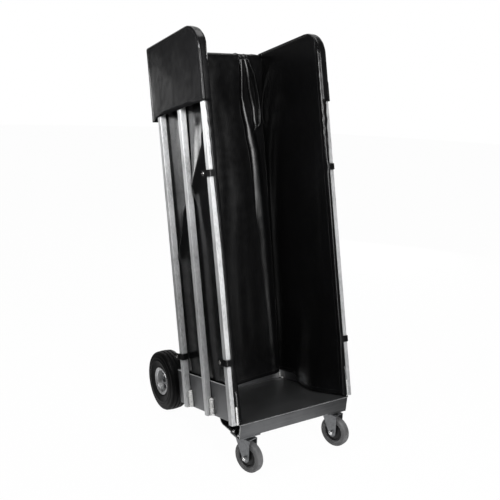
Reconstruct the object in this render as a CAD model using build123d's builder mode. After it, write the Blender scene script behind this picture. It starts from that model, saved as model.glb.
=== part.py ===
from build123d import *
import os
from math import cos, radians, sin

# Ice cart: an aluminium tray that leans back on two casters and two air-filled wheels,
# with a vinyl-lined frame of square posts on each side.
# The part stands on Z = 0, X runs across it and Y runs from its front to its back.

os.makedirs("parts", exist_ok=True)

# Overall stance, in millimetres and degrees
LEAN = 13.5  # tray and posts lean back from upright
FLOOR_FRONT_Y = -375.5  # front edge of the tray floor, ahead of the middle of the cart
FLOOR_FRONT_Z = 216.0

# Tray and caster channel
SHEET = 3.0
BEND = 5.0  # outside radius of a fold
TRAY_W = 530.0
TRAY_D = 505.0
WALL_H = 140.0
WALL_SETBACK = 5.0  # side walls start behind the floor's front edge
WALL_CORNER = 28.0
LIP_W = 520.0
LIP_H = 60.0
LIP_LEAN = 17.5  # the lip folds this far past square
CHANNEL_D = 131.0  # level underside, from the lip to the start of the rear bend
CHANNEL_BEND = 24.0
CHANNEL_FLANGE = 40.0

# Side frames
TUBE = 25.4
TUBE_R = 2.0
TUBE_WALL = 2.5
POST_V = {"front": 24.0, "middle": 218.0, "rear": 402.0}
RAIL_W = 1493.3  # middle of the top rail, up the posts from the floor
RAIL_END = 457.7
POST_BEND = 90.0
CROSSBAR_V = 445.0
CROSSBAR_DROP = 3.0
WELD_LENGTH = 70.0
WELD_LEG = 10.0
FRONT_WELD_LEG = 6.0

# Vinyl
VINYL = 2.5
HOOD_FRONT = 6.0
HOOD_REAR = 461.0
HOOD_TOP = 1510.0
HOOD_BOTTOM = 1220.0
HOOD_CORNER = 100.0
HOOD_REAR_CORNER = 5.0
HOOD_OUTER = 294.0
HOOD_INNER = 260.3
LINER_FRONT = 8.0
LINER_TOP = 1506.0
LINER_HALF = 259.5  # to the outer faces of the side panels, under the hoods
BACK_FOOT_V = 486.5
RIGHT_HEM_V, RIGHT_HEM_W = 326.0, 46.0  # behind here the right panel's hem hangs clear of the floor
SEAM = 0.3  # between panels that are sewn together
SLEEVE_GAP = 0.8
SLEEVE_NOTCH = 36.0
STRAP_H = 25.0
STRAP_TAB = 30.0
STRAP_GAP = 0.6
STRAP_W = {"front": (240.0, 955.0), "rear": (215.0,)}  # heights of the straps on each post
SNAP_R = 7.0
SNAP_H = 3.5
SNAP_TAPER = 20.0

# Folds of the liner. At each height up the posts: half the liner's width, the places where
# one fold meets the next, and how far each fold bulges into the bay
STRAIGHT = ((101, 194, 287, 380), (0.6, -0.6, 0.6, -0.6, 0.6))
SIDE_FOLDS = {
    "left": {  # a long fold runs down outside from the front post to the rear one
        10.0: (250.0, (101, 194, 287, 380), (6, -6, 6, -6, 6)),
        320.0: (256.0, (101, 194, 287, 380), (6, -6, 6, -6, 6)),
        760.0: (257.7, (120, 270, 420, 445), (4, -2, -7, 1, 1)),
        970.0: (258.5, (60, 120, 310, 400), (2, 1, -6, 3, 2)),
        1100.0: (259.0, (20, 40, 155, 330), (0.6, 0.6, -5, 3, 2)),
        1220.0: (LINER_HALF, *STRAIGHT),
        LINER_TOP: (LINER_HALF, *STRAIGHT),
    },
    "right": {  # its foot bellies in over the floor
        10.0: (250.0, (36, 324, 375, 425), (2, 36, -2, 2, -2)),
        320.0: (256.0, (101, 194, 287, 380), (6, -4, 5, -4, 4)),
        1220.0: (LINER_HALF, *STRAIGHT),
        LINER_TOP: (LINER_HALF, *STRAIGHT),
    },
}
BACK_FOLDS = {  # with a pleat high in the right-hand corner
    28.0: (
        250.0,
        (-238, -178, -118, -15, 15, 118, 178, 214, 226, 234),
        (-1, 10, -7, 9, -4, 9, -7, 10, -1, 1, -1),
    ),
    320.0: (
        256.0,
        (-244, -178, -112, -5, 5, 112, 178, 232, 238, 246),
        (-1, 12, -8, 10, -1, 10, -8, 12, -0.6, 0.6, -0.6),
    ),
    890.0: (
        258.2,
        (-246, -165, -125, -35, 35, 125, 165, 232, 238, 246),
        (-1, 12, -6, 8, -3, 8, -6, 12, -0.6, 0.6, -0.6),
    ),
    1190.0: (
        259.4,
        (-247, -145, -110, -30, 30, 110, 145, 195, 217, 225),
        (-1, 8, -5, 6, -3, 6, -5, 11, -3, 1, -2),
    ),
    1260.0: (
        LINER_HALF,
        (-247, -138, -100, -25, 25, 100, 138, 180, 212, 245),
        (-1, 6, -4, 5, -2, 5, -4, 10, -3, 8, -1),
    ),
    RAIL_W - CROSSBAR_DROP: (
        LINER_HALF,
        (-247, -155, -80, -10, 10, 80, 155, 178, 190, 207),
        (-0.6, 0.6, -0.6, 0.6, -0.6, 0.6, -0.6, 1.5, -0.6, 2, -0.6),
    ),
}

# Rear wheels
WHEEL_R = 134.0
WHEEL_X = 250.0  # middle of the tyre
AXLE_BACK = 645.0  # behind the floor's front edge
AXLE_R = 7.9375
AXLE_HALF = 279.0
COTTER_R = 1.6
COTTER_EYE_R = 3.5
COTTER_INSET = 6.0  # from the end of the axle
BEARING_R = 17.5
BEARING_BORE = 7.98
BEARING_W = 11.0
HUB_R = 20.5
HUB_IN, HUB_OUT = -45.2, 16.0  # ends of the hub, outwards from the middle of the tyre
RIM_SHEET = 2.5
RIM_BOLT_RING = 33.0
RIM_BOLTS = 4
RIM_SEAT = ((0.0, 47.5), (31.0, 50.5), (34.5, 62.0))  # from the disc out to the flange
RIM_BENDS = (5.0, 3.5)
STEM_R, STEM_LENGTH, STEM_TILT = 4.0, 26.0, 35.0
STEM_START = (10.0, 53.5)
STEM_CAP_R, STEM_CAP_LENGTH = 4.8, 9.0

# Half of the tyre's section, as distance from its middle plane and radius
BEAD = ((25.5, 62.5), (24.5, 53.5), (31.0, 53.5), (31.5, 62.5))
SIDEWALL = ((31.5, 62.5), (43.0, 94.0), (36.0, 124.0))
SHOULDER = ((36.0, 124.0), (32.5, 129.5), (26.0, 131.8))
TREAD = ((26.0, 131.8), (13.2, 133.4), (0.0, WHEEL_R))
SIDEWALL_INSIDE = ((25.5, 62.5), (36.0, 94.0), (27.0, 120.0))
TREAD_INSIDE = ((27.0, 120.0), (13.8, 124.4), (0.0, 125.5))
GROOVES = (-16.0, 0.0, 16.0)
GROOVE_W, GROOVE_D = 5.0, 3.5
TUBE_MIDDLE = 88.0  # radius of the inner tube's middle
TUBE_SECTION = (29.0, 34.0)
TUBE_RUBBER = 2.0

# Bolts
BOLT_R = 4.0
BOLT_HOLE = 4.2
BOLT_HEAD_R, BOLT_HEAD_H = 8.8, 3.6
NUT_R, NUT_H = 7.4, 6.4
BOLT_END = 2.4  # thread beyond a nut

# Axle brackets
BRACKET_PLATE = 6.0
BRACKET_U = 201.0  # outer face of the web
BRACKET_FLANGE = 46.0
BRACKET_FOOT, BRACKET_HEAD = 12.0, 128.0
BRACKET_EYE = 24.0
BRACKET_BOLT_W = (28.0, 70.0, 112.0)
WASHER_T = 3.0
WASHER_R = 17.0
END_PLAY = 0.5

# Casters
CASTER_X = 212.0
CASTER_BACK = 38.0  # kingpin behind the floor's front edge
CASTER_R = 63.5
CASTER_W = 32.0
CASTER_SHOULDER = 8.0
CASTER_TRAIL = 24.0
CASTER_SWIVEL = 15.6  # the wheels have swung forwards and to the right
PLATE_X, PLATE_Y, PLATE_T = 100.0, 70.0, 5.0
PLATE_CORNER = 6.0
PLATE_BOLT_X, PLATE_BOLT_Y = 80.0, 38.0
PLATE_BOLT_HEAD_R = 7.0
KINGPIN_R = 6.0
KINGPIN_HEAD_R, KINGPIN_HEAD_H = 10.0, 4.3
SWIVEL_GAP = 0.3
RACE_R, RACE_H = 28.0, 5.5
FORK_SHEET = 4.0
FORK_BEND = 6.0
FORK_INSIDE = 38.0
FORK_FRONT, FORK_REAR = 18.0, 52.0  # edges of the fork's legs, from the axle
FORK_SHOULDER = 18.0
FORK_EYE = 18.0
SLEEVE_R = 7.0
AXLE_BOLT_R = 5.0
AXLE_NUT_R, AXLE_NUT_H = 9.2, 8.0
AXLE_DOME_R = 6.8
AXLE_HEAD_H = 6.4
RUNNING = 0.05  # radial clearance of a turning fit
CORE_R = 38.0
CORE_RINGS = (  # inner radius, outer radius and width
    (SLEEVE_R + RUNNING, 13.0, 36.0),
    (13.0, 31.5, 24.0),
    (31.5, 34.5, 16.0),
    (34.5, CORE_R, 28.0),
)

# Frame of the leaning tray: u across, v back along the floor, w up the posts
deck = Plane(
    origin=(0, FLOOR_FRONT_Y, FLOOR_FRONT_Z),
    x_dir=(1, 0, 0),
    z_dir=(0, sin(radians(LEAN)), cos(radians(LEAN))),
)
UP_POSTS = Axis((0, 0, 0), deck.z_dir)
ALONG_FLOOR = Axis((0, 0, 0), deck.y_dir)
SIDES = {"left": -1, "right": 1}

lip_foot = deck.from_local_coords(
    Vector(0, LIP_H * sin(radians(LIP_LEAN)), -LIP_H * cos(radians(LIP_LEAN)))
)
axle_centre = Vector(0, FLOOR_FRONT_Y + AXLE_BACK, WHEEL_R)
axle_on_deck = deck.to_local_coords(axle_centre)


def deck_at(u, v, w):
    """A plane parallel to the tray floor: its x runs across, its y back along the floor."""
    return Plane(deck.from_local_coords(Vector(u, v, w)), x_dir=deck.x_dir, z_dir=deck.z_dir)


def side_at(u):
    """A plane along the tray: its x runs back along the floor, its y up the posts."""
    return Plane(deck.from_local_coords(Vector(u, 0, 0)), x_dir=deck.y_dir, z_dir=(1, 0, 0))


def front_at(v):
    """A plane square to the floor that faces forwards: its x runs across, its y up the posts."""
    return Plane(deck.from_local_coords(Vector(0, v, 0)), x_dir=(1, 0, 0), z_dir=-deck.y_dir)


def save(sub_part, name):
    """Label a finished sub-part and write it under its name."""
    sub_part.part.label = name
    export_step(sub_part.part, f"parts/{name}.step")


# Tray
with BuildPart() as tray:
    with BuildSketch(front_at(TRAY_D)) as folded:
        with Locations((0, (WALL_H - SHEET) / 2)):
            Rectangle(TRAY_W, WALL_H + SHEET)
        fillet(folded.vertices().group_by(Axis.Y)[0], BEND)
    extrude(amount=TRAY_D)
    fillet(tray.edges().filter_by(UP_POSTS).group_by(ALONG_FLOOR)[-1], BEND)
    with BuildSketch(front_at(TRAY_D - SHEET)) as hollow:
        with Locations((0, WALL_H / 2)):
            Rectangle(TRAY_W - 2 * SHEET, WALL_H)
        fillet(hollow.vertices().group_by(Axis.Y)[0], BEND - SHEET)
    extrude(amount=TRAY_D, mode=Mode.SUBTRACT)
    # rounded front edges of the side walls
    with BuildSketch(side_at(-TRAY_W)):
        with BuildLine():
            bottom = Line((-SHEET, 0), (WALL_SETBACK, 0))
            edge = Line(bottom @ 1, (WALL_SETBACK, WALL_H - WALL_CORNER))
            corner = TangentArc(edge @ 1, (WALL_SETBACK + WALL_CORNER, WALL_H), tangent=edge % 1)
            above = WALL_H + SHEET
            Polyline(corner @ 1, (WALL_SETBACK + WALL_CORNER, above), (-SHEET, above), bottom @ 0)
        make_face()
    extrude(amount=2 * TRAY_W, mode=Mode.SUBTRACT)
    # front lip
    with BuildSketch(side_at(-LIP_W / 2)):
        with BuildLine():
            FilletPolyline(
                (4 * BEND, 0),
                (0, 0),
                (LIP_H * sin(radians(LIP_LEAN)), -LIP_H * cos(radians(LIP_LEAN))),
                radius=BEND,
            )
            offset(amount=SHEET, side=Side.LEFT)
        make_face()
    extrude(amount=LIP_W)
    # bolt holes for the axle brackets
    for side in SIDES.values():
        with BuildSketch(front_at(TRAY_D + SHEET)):
            for height in BRACKET_BOLT_W:
                with Locations((side * (BRACKET_U - BRACKET_FLANGE / 2 - BRACKET_PLATE / 2), height)):
                    Circle(BOLT_HOLE)
        extrude(amount=4 * SHEET, mode=Mode.SUBTRACT)
save(tray, "tray")

# Caster channel: a flange behind the lip, a level underside and a rear bend up to the floor
plate_z = lip_foot.Z
lip_slope = LIP_LEAN - LEAN
channel_front = Vector(lip_foot.Y + SHEET / cos(radians(lip_slope)), plate_z)
with BuildPart() as caster_channel:
    with BuildSketch(Plane.YZ.offset(-LIP_W / 2)):
        with BuildLine():
            rise = Vector(0, 1).rotate(Axis.Z, lip_slope)
            FilletPolyline(
                channel_front + CHANNEL_FLANGE * rise,
                channel_front,
                (FLOOR_FRONT_Y + CHANNEL_D + CHANNEL_BEND, plate_z),
                (FLOOR_FRONT_Y + CHANNEL_D + CHANNEL_BEND, plate_z + 2 * CHANNEL_BEND),
                radius=(BEND, CHANNEL_BEND),
            )
            offset(amount=SHEET, side=Side.LEFT)
        make_face()
    extrude(amount=LIP_W)
    split(bisect_by=deck_at(0, 0, -SHEET), keep=Keep.BOTTOM)
    with BuildSketch(Plane.XY.offset(plate_z)):
        for side in SIDES.values():
            with Locations((side * CASTER_X, FLOOR_FRONT_Y + CASTER_BACK)):
                with GridLocations(PLATE_BOLT_X, PLATE_BOLT_Y, 2, 2):
                    Circle(BOLT_HOLE)
    extrude(amount=2 * SHEET, mode=Mode.SUBTRACT)
save(caster_channel, "caster_channel")

# Side frames
for side_name, side in SIDES.items():
    post_u = side * (TRAY_W + TUBE) / 2
    for post_name, post_v in POST_V.items():
        with BuildPart() as post:
            with BuildSketch(deck_at(post_u, post_v, 0)):
                RectangleRounded(TUBE, TUBE, TUBE_R)
                Rectangle(TUBE - 2 * TUBE_WALL, TUBE - 2 * TUBE_WALL, mode=Mode.SUBTRACT)
            if post_name == "front":
                with BuildLine(side_at(post_u)):
                    FilletPolyline(
                        (post_v, 0), (post_v, RAIL_W), (RAIL_END, RAIL_W), radius=POST_BEND
                    )
                sweep()
            else:
                extrude(amount=RAIL_W - TUBE / 2)
        save(post, f"{side_name}_{post_name}_post")

# Push handle across the rear ends of the top rails
with BuildPart() as top_crossbar:
    with BuildSketch(side_at(-TRAY_W / 2)):
        with Locations((CROSSBAR_V, RAIL_W - CROSSBAR_DROP)):
            Circle(TUBE / 2)
            Circle(TUBE / 2 - TUBE_WALL, mode=Mode.SUBTRACT)
    extrude(amount=TRAY_W)
save(top_crossbar, "top_crossbar")

# Fillet welds up the front and rear edges of every post
with BuildPart() as post_welds:
    for side in SIDES.values():
        with BuildSketch(deck_at(side * TRAY_W / 2, 0, 0)):
            for post_name, post_v in POST_V.items():
                for direction in (-1, 1):
                    front_edge = post_name == "front" and direction == -1
                    leg = FRONT_WELD_LEG if front_edge else WELD_LEG
                    face_v = post_v + direction * TUBE / 2
                    with BuildLine():
                        Polyline(
                            (0, face_v),
                            (side * leg, face_v),
                            (0, face_v + direction * leg),
                            close=True,
                        )
                    make_face()
        extrude(amount=WELD_LENGTH)
save(post_welds, "post_welds")

# Axle brackets: a flange on the tray's back wall and a web out to the axle
for side_name, side in SIDES.items():
    with BuildPart() as axle_bracket:
        web_inner = side * BRACKET_U - BRACKET_PLATE * (side > 0)
        with BuildSketch(side_at(web_inner)):
            with BuildLine():
                Polyline(
                    (TRAY_D, BRACKET_FOOT),
                    (axle_on_deck.Y, axle_on_deck.Z - BRACKET_EYE),
                    (axle_on_deck.Y, axle_on_deck.Z + BRACKET_EYE),
                    (TRAY_D, BRACKET_HEAD),
                    close=True,
                )
            make_face()
            with Locations((axle_on_deck.Y, axle_on_deck.Z)):
                Circle(BRACKET_EYE)
                Circle(AXLE_R + RUNNING, mode=Mode.SUBTRACT)
        extrude(amount=BRACKET_PLATE)
        flange_u = side * (BRACKET_U - BRACKET_FLANGE / 2)
        with BuildSketch(front_at(TRAY_D)):
            with Locations((flange_u, (BRACKET_FOOT + BRACKET_HEAD) / 2)):
                Rectangle(BRACKET_FLANGE, BRACKET_HEAD - BRACKET_FOOT)
            for height in BRACKET_BOLT_W:
                with Locations((flange_u - side * BRACKET_PLATE / 2, height)):
                    Circle(BOLT_HOLE, mode=Mode.SUBTRACT)
        extrude(amount=-BRACKET_PLATE)
    save(axle_bracket, f"{side_name}_axle_bracket")

# Bracket bolts: low round heads inside the tray, hexagon nuts behind the flange
with BuildPart() as bracket_bolts:
    for side in SIDES.values():
        bolt_u = side * (BRACKET_U - BRACKET_FLANGE / 2 - BRACKET_PLATE / 2)
        for height in BRACKET_BOLT_W:
            with BuildSketch(front_at(TRAY_D - SHEET)):
                with Locations((bolt_u, height)):
                    Circle(BOLT_HEAD_R)
            extrude(amount=BOLT_HEAD_H)
            with BuildSketch(front_at(TRAY_D - SHEET)):
                with Locations((bolt_u, height)):
                    Circle(BOLT_R)
            extrude(amount=-(SHEET + BRACKET_PLATE + NUT_H + BOLT_END))
            with BuildSketch(front_at(TRAY_D + BRACKET_PLATE)):
                with Locations((bolt_u, height)):
                    RegularPolygon(NUT_R, 6)
            extrude(amount=-NUT_H)
save(bracket_bolts, "bracket_bolts")

# Axle with a cross hole for a cotter pin at each end
pin_x = AXLE_HALF - COTTER_INSET
with BuildPart() as axle:
    with BuildSketch(Plane.YZ.offset(-AXLE_HALF)):
        with Locations((axle_centre.Y, axle_centre.Z)):
            Circle(AXLE_R)
    extrude(amount=2 * AXLE_HALF)
    chamfer(axle.edges().filter_by(GeomType.CIRCLE), COTTER_R)
    with BuildSketch(Plane.XY.offset(axle_centre.Z - 2 * AXLE_R)):
        for side in SIDES.values():
            with Locations((side * pin_x, axle_centre.Y)):
                Circle(COTTER_R + RUNNING)
    extrude(amount=4 * AXLE_R, mode=Mode.SUBTRACT)
save(axle, "axle")

with BuildPart() as axle_washers:
    for side in SIDES.values():
        for start in (BRACKET_U, WHEEL_X + HUB_OUT + END_PLAY):
            with BuildSketch(Plane.YZ.offset(side * start)):
                with Locations((axle_centre.Y, axle_centre.Z)):
                    Circle(WASHER_R)
                    Circle(AXLE_R + END_PLAY, mode=Mode.SUBTRACT)
            extrude(amount=side * WASHER_T)
save(axle_washers, "axle_washers")

# Cotter pins: a straight shank through the axle and a round eye above it
with BuildPart() as cotter_pins:
    for side in SIDES.values():
        eye_z = axle_centre.Z + AXLE_R + 3 * COTTER_R
        with BuildSketch(Plane.XY.offset(axle_centre.Z - AXLE_R - 4 * COTTER_R)):
            with Locations((side * pin_x, axle_centre.Y)):
                Circle(COTTER_R)
        extrude(amount=2 * AXLE_R + 5 * COTTER_R)
        with Locations(Plane((side * pin_x, axle_centre.Y, eye_z), z_dir=(1, 0, 0))):
            Torus(COTTER_EYE_R, COTTER_R)
save(cotter_pins, "cotter_pins")


# Hoods: shells over the tops of the side frames, open below and towards the bay
def hood_outline(inset):
    """The edges of a hood's side view, drawn in by inset at the front, the top and the rear."""
    front, rear, top = HOOD_FRONT + inset, HOOD_REAR - inset, HOOD_TOP - inset
    with BuildLine() as outline:
        FilletPolyline(
            (front, HOOD_BOTTOM - inset),
            (front, top),
            (rear, top),
            (rear, HOOD_BOTTOM - inset),
            radius=(HOOD_CORNER - inset, HOOD_REAR_CORNER - inset),
        )
        Line((rear, HOOD_BOTTOM - inset), (front, HOOD_BOTTOM - inset))
    return outline.edges()


for side_name, side in SIDES.items():
    with BuildPart() as hood:
        with BuildSketch(side_at(side * HOOD_INNER)):
            make_face(hood_outline(0))
        extrude(amount=side * (HOOD_OUTER - HOOD_INNER))
        with BuildSketch(side_at(side * HOOD_INNER)):
            make_face(hood_outline(VINYL))
        extrude(amount=side * (HOOD_OUTER - HOOD_INNER - VINYL), mode=Mode.SUBTRACT)
    save(hood, f"{side_name}_hood")


# Liner: three panels sewn at the rear corners
def folded_band(knots, bulges, inward, outer, inner):
    """The edges of a band between two faces, with a fold from each knot to the next."""
    with BuildLine() as band:
        for face in (outer, inner):
            for a, b, bulge in zip(knots, knots[1:], bulges):
                ThreePointArc(
                    a + inward * face, (a + b) * 0.5 + inward * (face + bulge), b + inward * face
                )
        for end in (knots[0], knots[-1]):
            Line(end + inward * outer, end + inward * inner)
    return band.edges()


handle_w = RAIL_W - CROSSBAR_DROP
sleeve_r = TUBE / 2 + SLEEVE_GAP + VINYL


def back_v(height):
    """Where the back panel hangs at a height: it leaves the handle's sleeve and nears the back wall."""
    top_v = CROSSBAR_V + sleeve_r - VINYL
    return top_v + (BACK_FOOT_V - top_v) * (handle_w - height) / handle_w


for side_name, side in SIDES.items():
    with BuildPart() as side_panel:
        for height, (half, meets, bulges) in SIDE_FOLDS[side_name].items():
            knots = [Vector(side * half, v) for v in (LINER_FRONT, *meets, back_v(height) - SEAM)]
            with BuildSketch(deck_at(0, 0, height)):
                make_face(folded_band(knots, bulges, Vector(-side, 0), 0, VINYL))
        loft(ruled=True)
        with BuildSketch(side_at(-TRAY_W)):
            # the front corner follows the hood, the rear one leaves room for the sleeve
            with Locations((HOOD_FRONT, HOOD_TOP)):
                Rectangle(2 * HOOD_CORNER, 2 * HOOD_CORNER)
            with Locations((HOOD_FRONT + HOOD_CORNER, HOOD_TOP - HOOD_CORNER)):
                Circle(HOOD_CORNER, mode=Mode.SUBTRACT)
            with Locations((CROSSBAR_V, handle_w)):
                Rectangle(SLEEVE_NOTCH, SLEEVE_NOTCH)
            if side_name == "right":
                with Locations((RIGHT_HEM_V, 0)):
                    Rectangle(TRAY_D, RIGHT_HEM_W, align=(Align.MIN, Align.MIN))
        extrude(amount=2 * TRAY_W, mode=Mode.SUBTRACT)
    save(side_panel, f"liner_{side_name}")

# the back panel hangs behind the handle from a sleeve sewn round it
with BuildPart() as liner_back:
    for height, (half, meets, bulges) in BACK_FOLDS.items():
        knots = [Vector(u, back_v(height)) for u in (-half, *meets, half)]
        with BuildSketch(deck_at(0, 0, height)):
            make_face(folded_band(knots, bulges, Vector(0, -1), -VINYL, 0))
    loft(ruled=True)
    for radius, mode in ((sleeve_r, Mode.ADD), (sleeve_r - VINYL, Mode.SUBTRACT)):
        with BuildSketch(side_at(-LINER_HALF)):
            with Locations((CROSSBAR_V, handle_w)):
                Circle(radius)
        extrude(amount=2 * LINER_HALF, mode=mode)
save(liner_back, "liner_back")

# Straps: a loop round the post and a tab behind it, closed by a press snap
loop = TUBE + 2 * STRAP_GAP
strap_outer = (TRAY_W + TUBE + loop) / 2 + VINYL
with BuildPart() as liner_straps:
    for side in SIDES.values():
        for post_name, heights in STRAP_W.items():
            for height in heights:
                strap_foot = deck_at(
                    side * (TRAY_W + TUBE) / 2, POST_V[post_name], height - STRAP_H / 2
                )
                with BuildSketch(strap_foot):
                    RectangleRounded(loop + 2 * VINYL, loop + 2 * VINYL, TUBE_R + VINYL)
                    with Locations((side * loop / 2, (loop + STRAP_TAB) / 2 + VINYL - TUBE_R)):
                        Rectangle(2 * VINYL, STRAP_TAB + 2 * TUBE_R)
                    RectangleRounded(loop, loop, TUBE_R, mode=Mode.SUBTRACT)
                extrude(amount=STRAP_H)
save(liner_straps, "liner_straps")

with BuildPart() as strap_snaps:
    for side in SIDES.values():
        with BuildSketch(side_at(side * strap_outer)):
            for post_name, heights in STRAP_W.items():
                snap_v = POST_V[post_name] + (loop + STRAP_TAB) / 2 + VINYL
                for height in heights:
                    with Locations((snap_v, height)):
                        Circle(SNAP_R)
        extrude(amount=side * SNAP_H, taper=SNAP_TAPER)
save(strap_snaps, "strap_snaps")

# Rear wheels, drawn outwards from the middle of the tyre
for side_name, side in SIDES.items():
    wheel_centre = Vector(side * WHEEL_X, axle_centre.Y, axle_centre.Z)
    across = Plane(wheel_centre, x_dir=(side, 0, 0), z_dir=(0, -side, 0))
    face = Plane(wheel_centre, x_dir=(0, 1, 0), z_dir=(side, 0, 0))
    spin = Axis(wheel_centre, (1, 0, 0))
    stem_axis = Plane(
        across.from_local_coords(Vector(*STEM_START)),
        z_dir=across.x_dir * sin(radians(STEM_TILT)) - across.y_dir * cos(radians(STEM_TILT)),
    )

    with BuildPart() as tyre:
        with BuildSketch(across):
            with BuildLine():
                Polyline(BEAD)
                for arc in (SIDEWALL, SHOULDER, TREAD, SIDEWALL_INSIDE, TREAD_INSIDE):
                    ThreePointArc(arc)
                mirror(about=Plane.YZ)
            make_face()
        revolve(axis=spin)
        with BuildSketch(across):
            for groove in GROOVES:
                with Locations((groove, WHEEL_R)):
                    Rectangle(GROOVE_W, 2 * GROOVE_D)
        revolve(axis=spin, mode=Mode.SUBTRACT)
    save(tyre, f"{side_name}_tyre")

    with BuildPart() as inner_tube:
        with BuildSketch(across):
            with Locations((0, TUBE_MIDDLE)):
                Ellipse(*TUBE_SECTION)
                Ellipse(TUBE_SECTION[0] - TUBE_RUBBER, TUBE_SECTION[1] - TUBE_RUBBER, mode=Mode.SUBTRACT)
        revolve(axis=spin)
    save(inner_tube, f"{side_name}_inner_tube")

    # two pressed rim halves, back to back on the middle plane
    for half_name, out in (("outer", 1), ("inner", -1)):
        with BuildPart() as rim_half:
            with BuildSketch(across):
                with BuildLine():
                    FilletPolyline(
                        (0, HUB_R), *((out * x, r) for x, r in RIM_SEAT), radius=RIM_BENDS
                    )
                    offset(amount=RIM_SHEET, side=Side.RIGHT if out > 0 else Side.LEFT)
                make_face()
            revolve(axis=spin)
            with BuildSketch(face):
                with PolarLocations(RIM_BOLT_RING, RIM_BOLTS, start_angle=45):
                    Circle(BOLT_HOLE)
            extrude(amount=2 * RIM_SHEET, both=True, mode=Mode.SUBTRACT)
            if half_name == "outer":
                with BuildSketch(stem_axis):
                    Circle(STEM_R + RUNNING)
                extrude(amount=STEM_LENGTH, mode=Mode.SUBTRACT)
        save(rim_half, f"{side_name}_rim_{half_name}")

    with BuildPart() as valve_stem:
        with BuildSketch(stem_axis):
            Circle(STEM_R)
        extrude(amount=STEM_LENGTH)
        with BuildSketch(stem_axis.offset(STEM_LENGTH - STEM_CAP_LENGTH)):
            Circle(STEM_CAP_R)
        extrude(amount=STEM_CAP_LENGTH)
    save(valve_stem, f"{side_name}_valve_stem")

    with BuildPart() as hub:
        with BuildSketch(across):
            with Locations(((HUB_IN + HUB_OUT) / 2, (HUB_R + BEARING_R) / 2)):
                Rectangle(HUB_OUT - HUB_IN, HUB_R - BEARING_R)
        revolve(axis=spin)
    save(hub, f"{side_name}_hub")

    with BuildPart() as bearings:
        with BuildSketch(across):
            for middle in (HUB_IN + BEARING_W / 2, HUB_OUT - BEARING_W / 2):
                with Locations((middle, (BEARING_R + BEARING_BORE) / 2)):
                    Rectangle(BEARING_W, BEARING_R - BEARING_BORE)
        revolve(axis=spin)
    save(bearings, f"{side_name}_bearings")

    with BuildPart() as rim_bolts:
        for start, amount in ((RIM_SHEET, NUT_H), (-RIM_SHEET, -NUT_H)):
            with BuildSketch(face.offset(start)):
                with PolarLocations(RIM_BOLT_RING, RIM_BOLTS, start_angle=45):
                    RegularPolygon(NUT_R, 6)
            extrude(amount=amount)
        with BuildSketch(face.offset(RIM_SHEET)):
            with PolarLocations(RIM_BOLT_RING, RIM_BOLTS, start_angle=45):
                Circle(BOLT_R)
        extrude(amount=-(2 * RIM_SHEET + NUT_H + BOLT_END))
    save(rim_bolts, f"{side_name}_rim_bolts")

# Casters: a fixed plate and kingpin, a fork that swivels and a wheel that rolls on a sleeve
with BuildPart() as caster_plate_bolts:
    for start, radius, amount in (
        (-PLATE_T, BOLT_R, PLATE_T + SHEET + NUT_H + BOLT_END),
        (-PLATE_T, PLATE_BOLT_HEAD_R, -BOLT_HEAD_H),
    ):
        with BuildSketch(Plane.XY.offset(plate_z + start)):
            for side in SIDES.values():
                with Locations((side * CASTER_X, FLOOR_FRONT_Y + CASTER_BACK)):
                    with GridLocations(PLATE_BOLT_X, PLATE_BOLT_Y, 2, 2):
                        Circle(radius)
        extrude(amount=amount)
    with BuildSketch(Plane.XY.offset(plate_z + SHEET)):
        for side in SIDES.values():
            with Locations((side * CASTER_X, FLOOR_FRONT_Y + CASTER_BACK)):
                with GridLocations(PLATE_BOLT_X, PLATE_BOLT_Y, 2, 2):
                    RegularPolygon(NUT_R, 6)
    extrude(amount=NUT_H)
save(caster_plate_bolts, "caster_plate_bolts")

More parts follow.
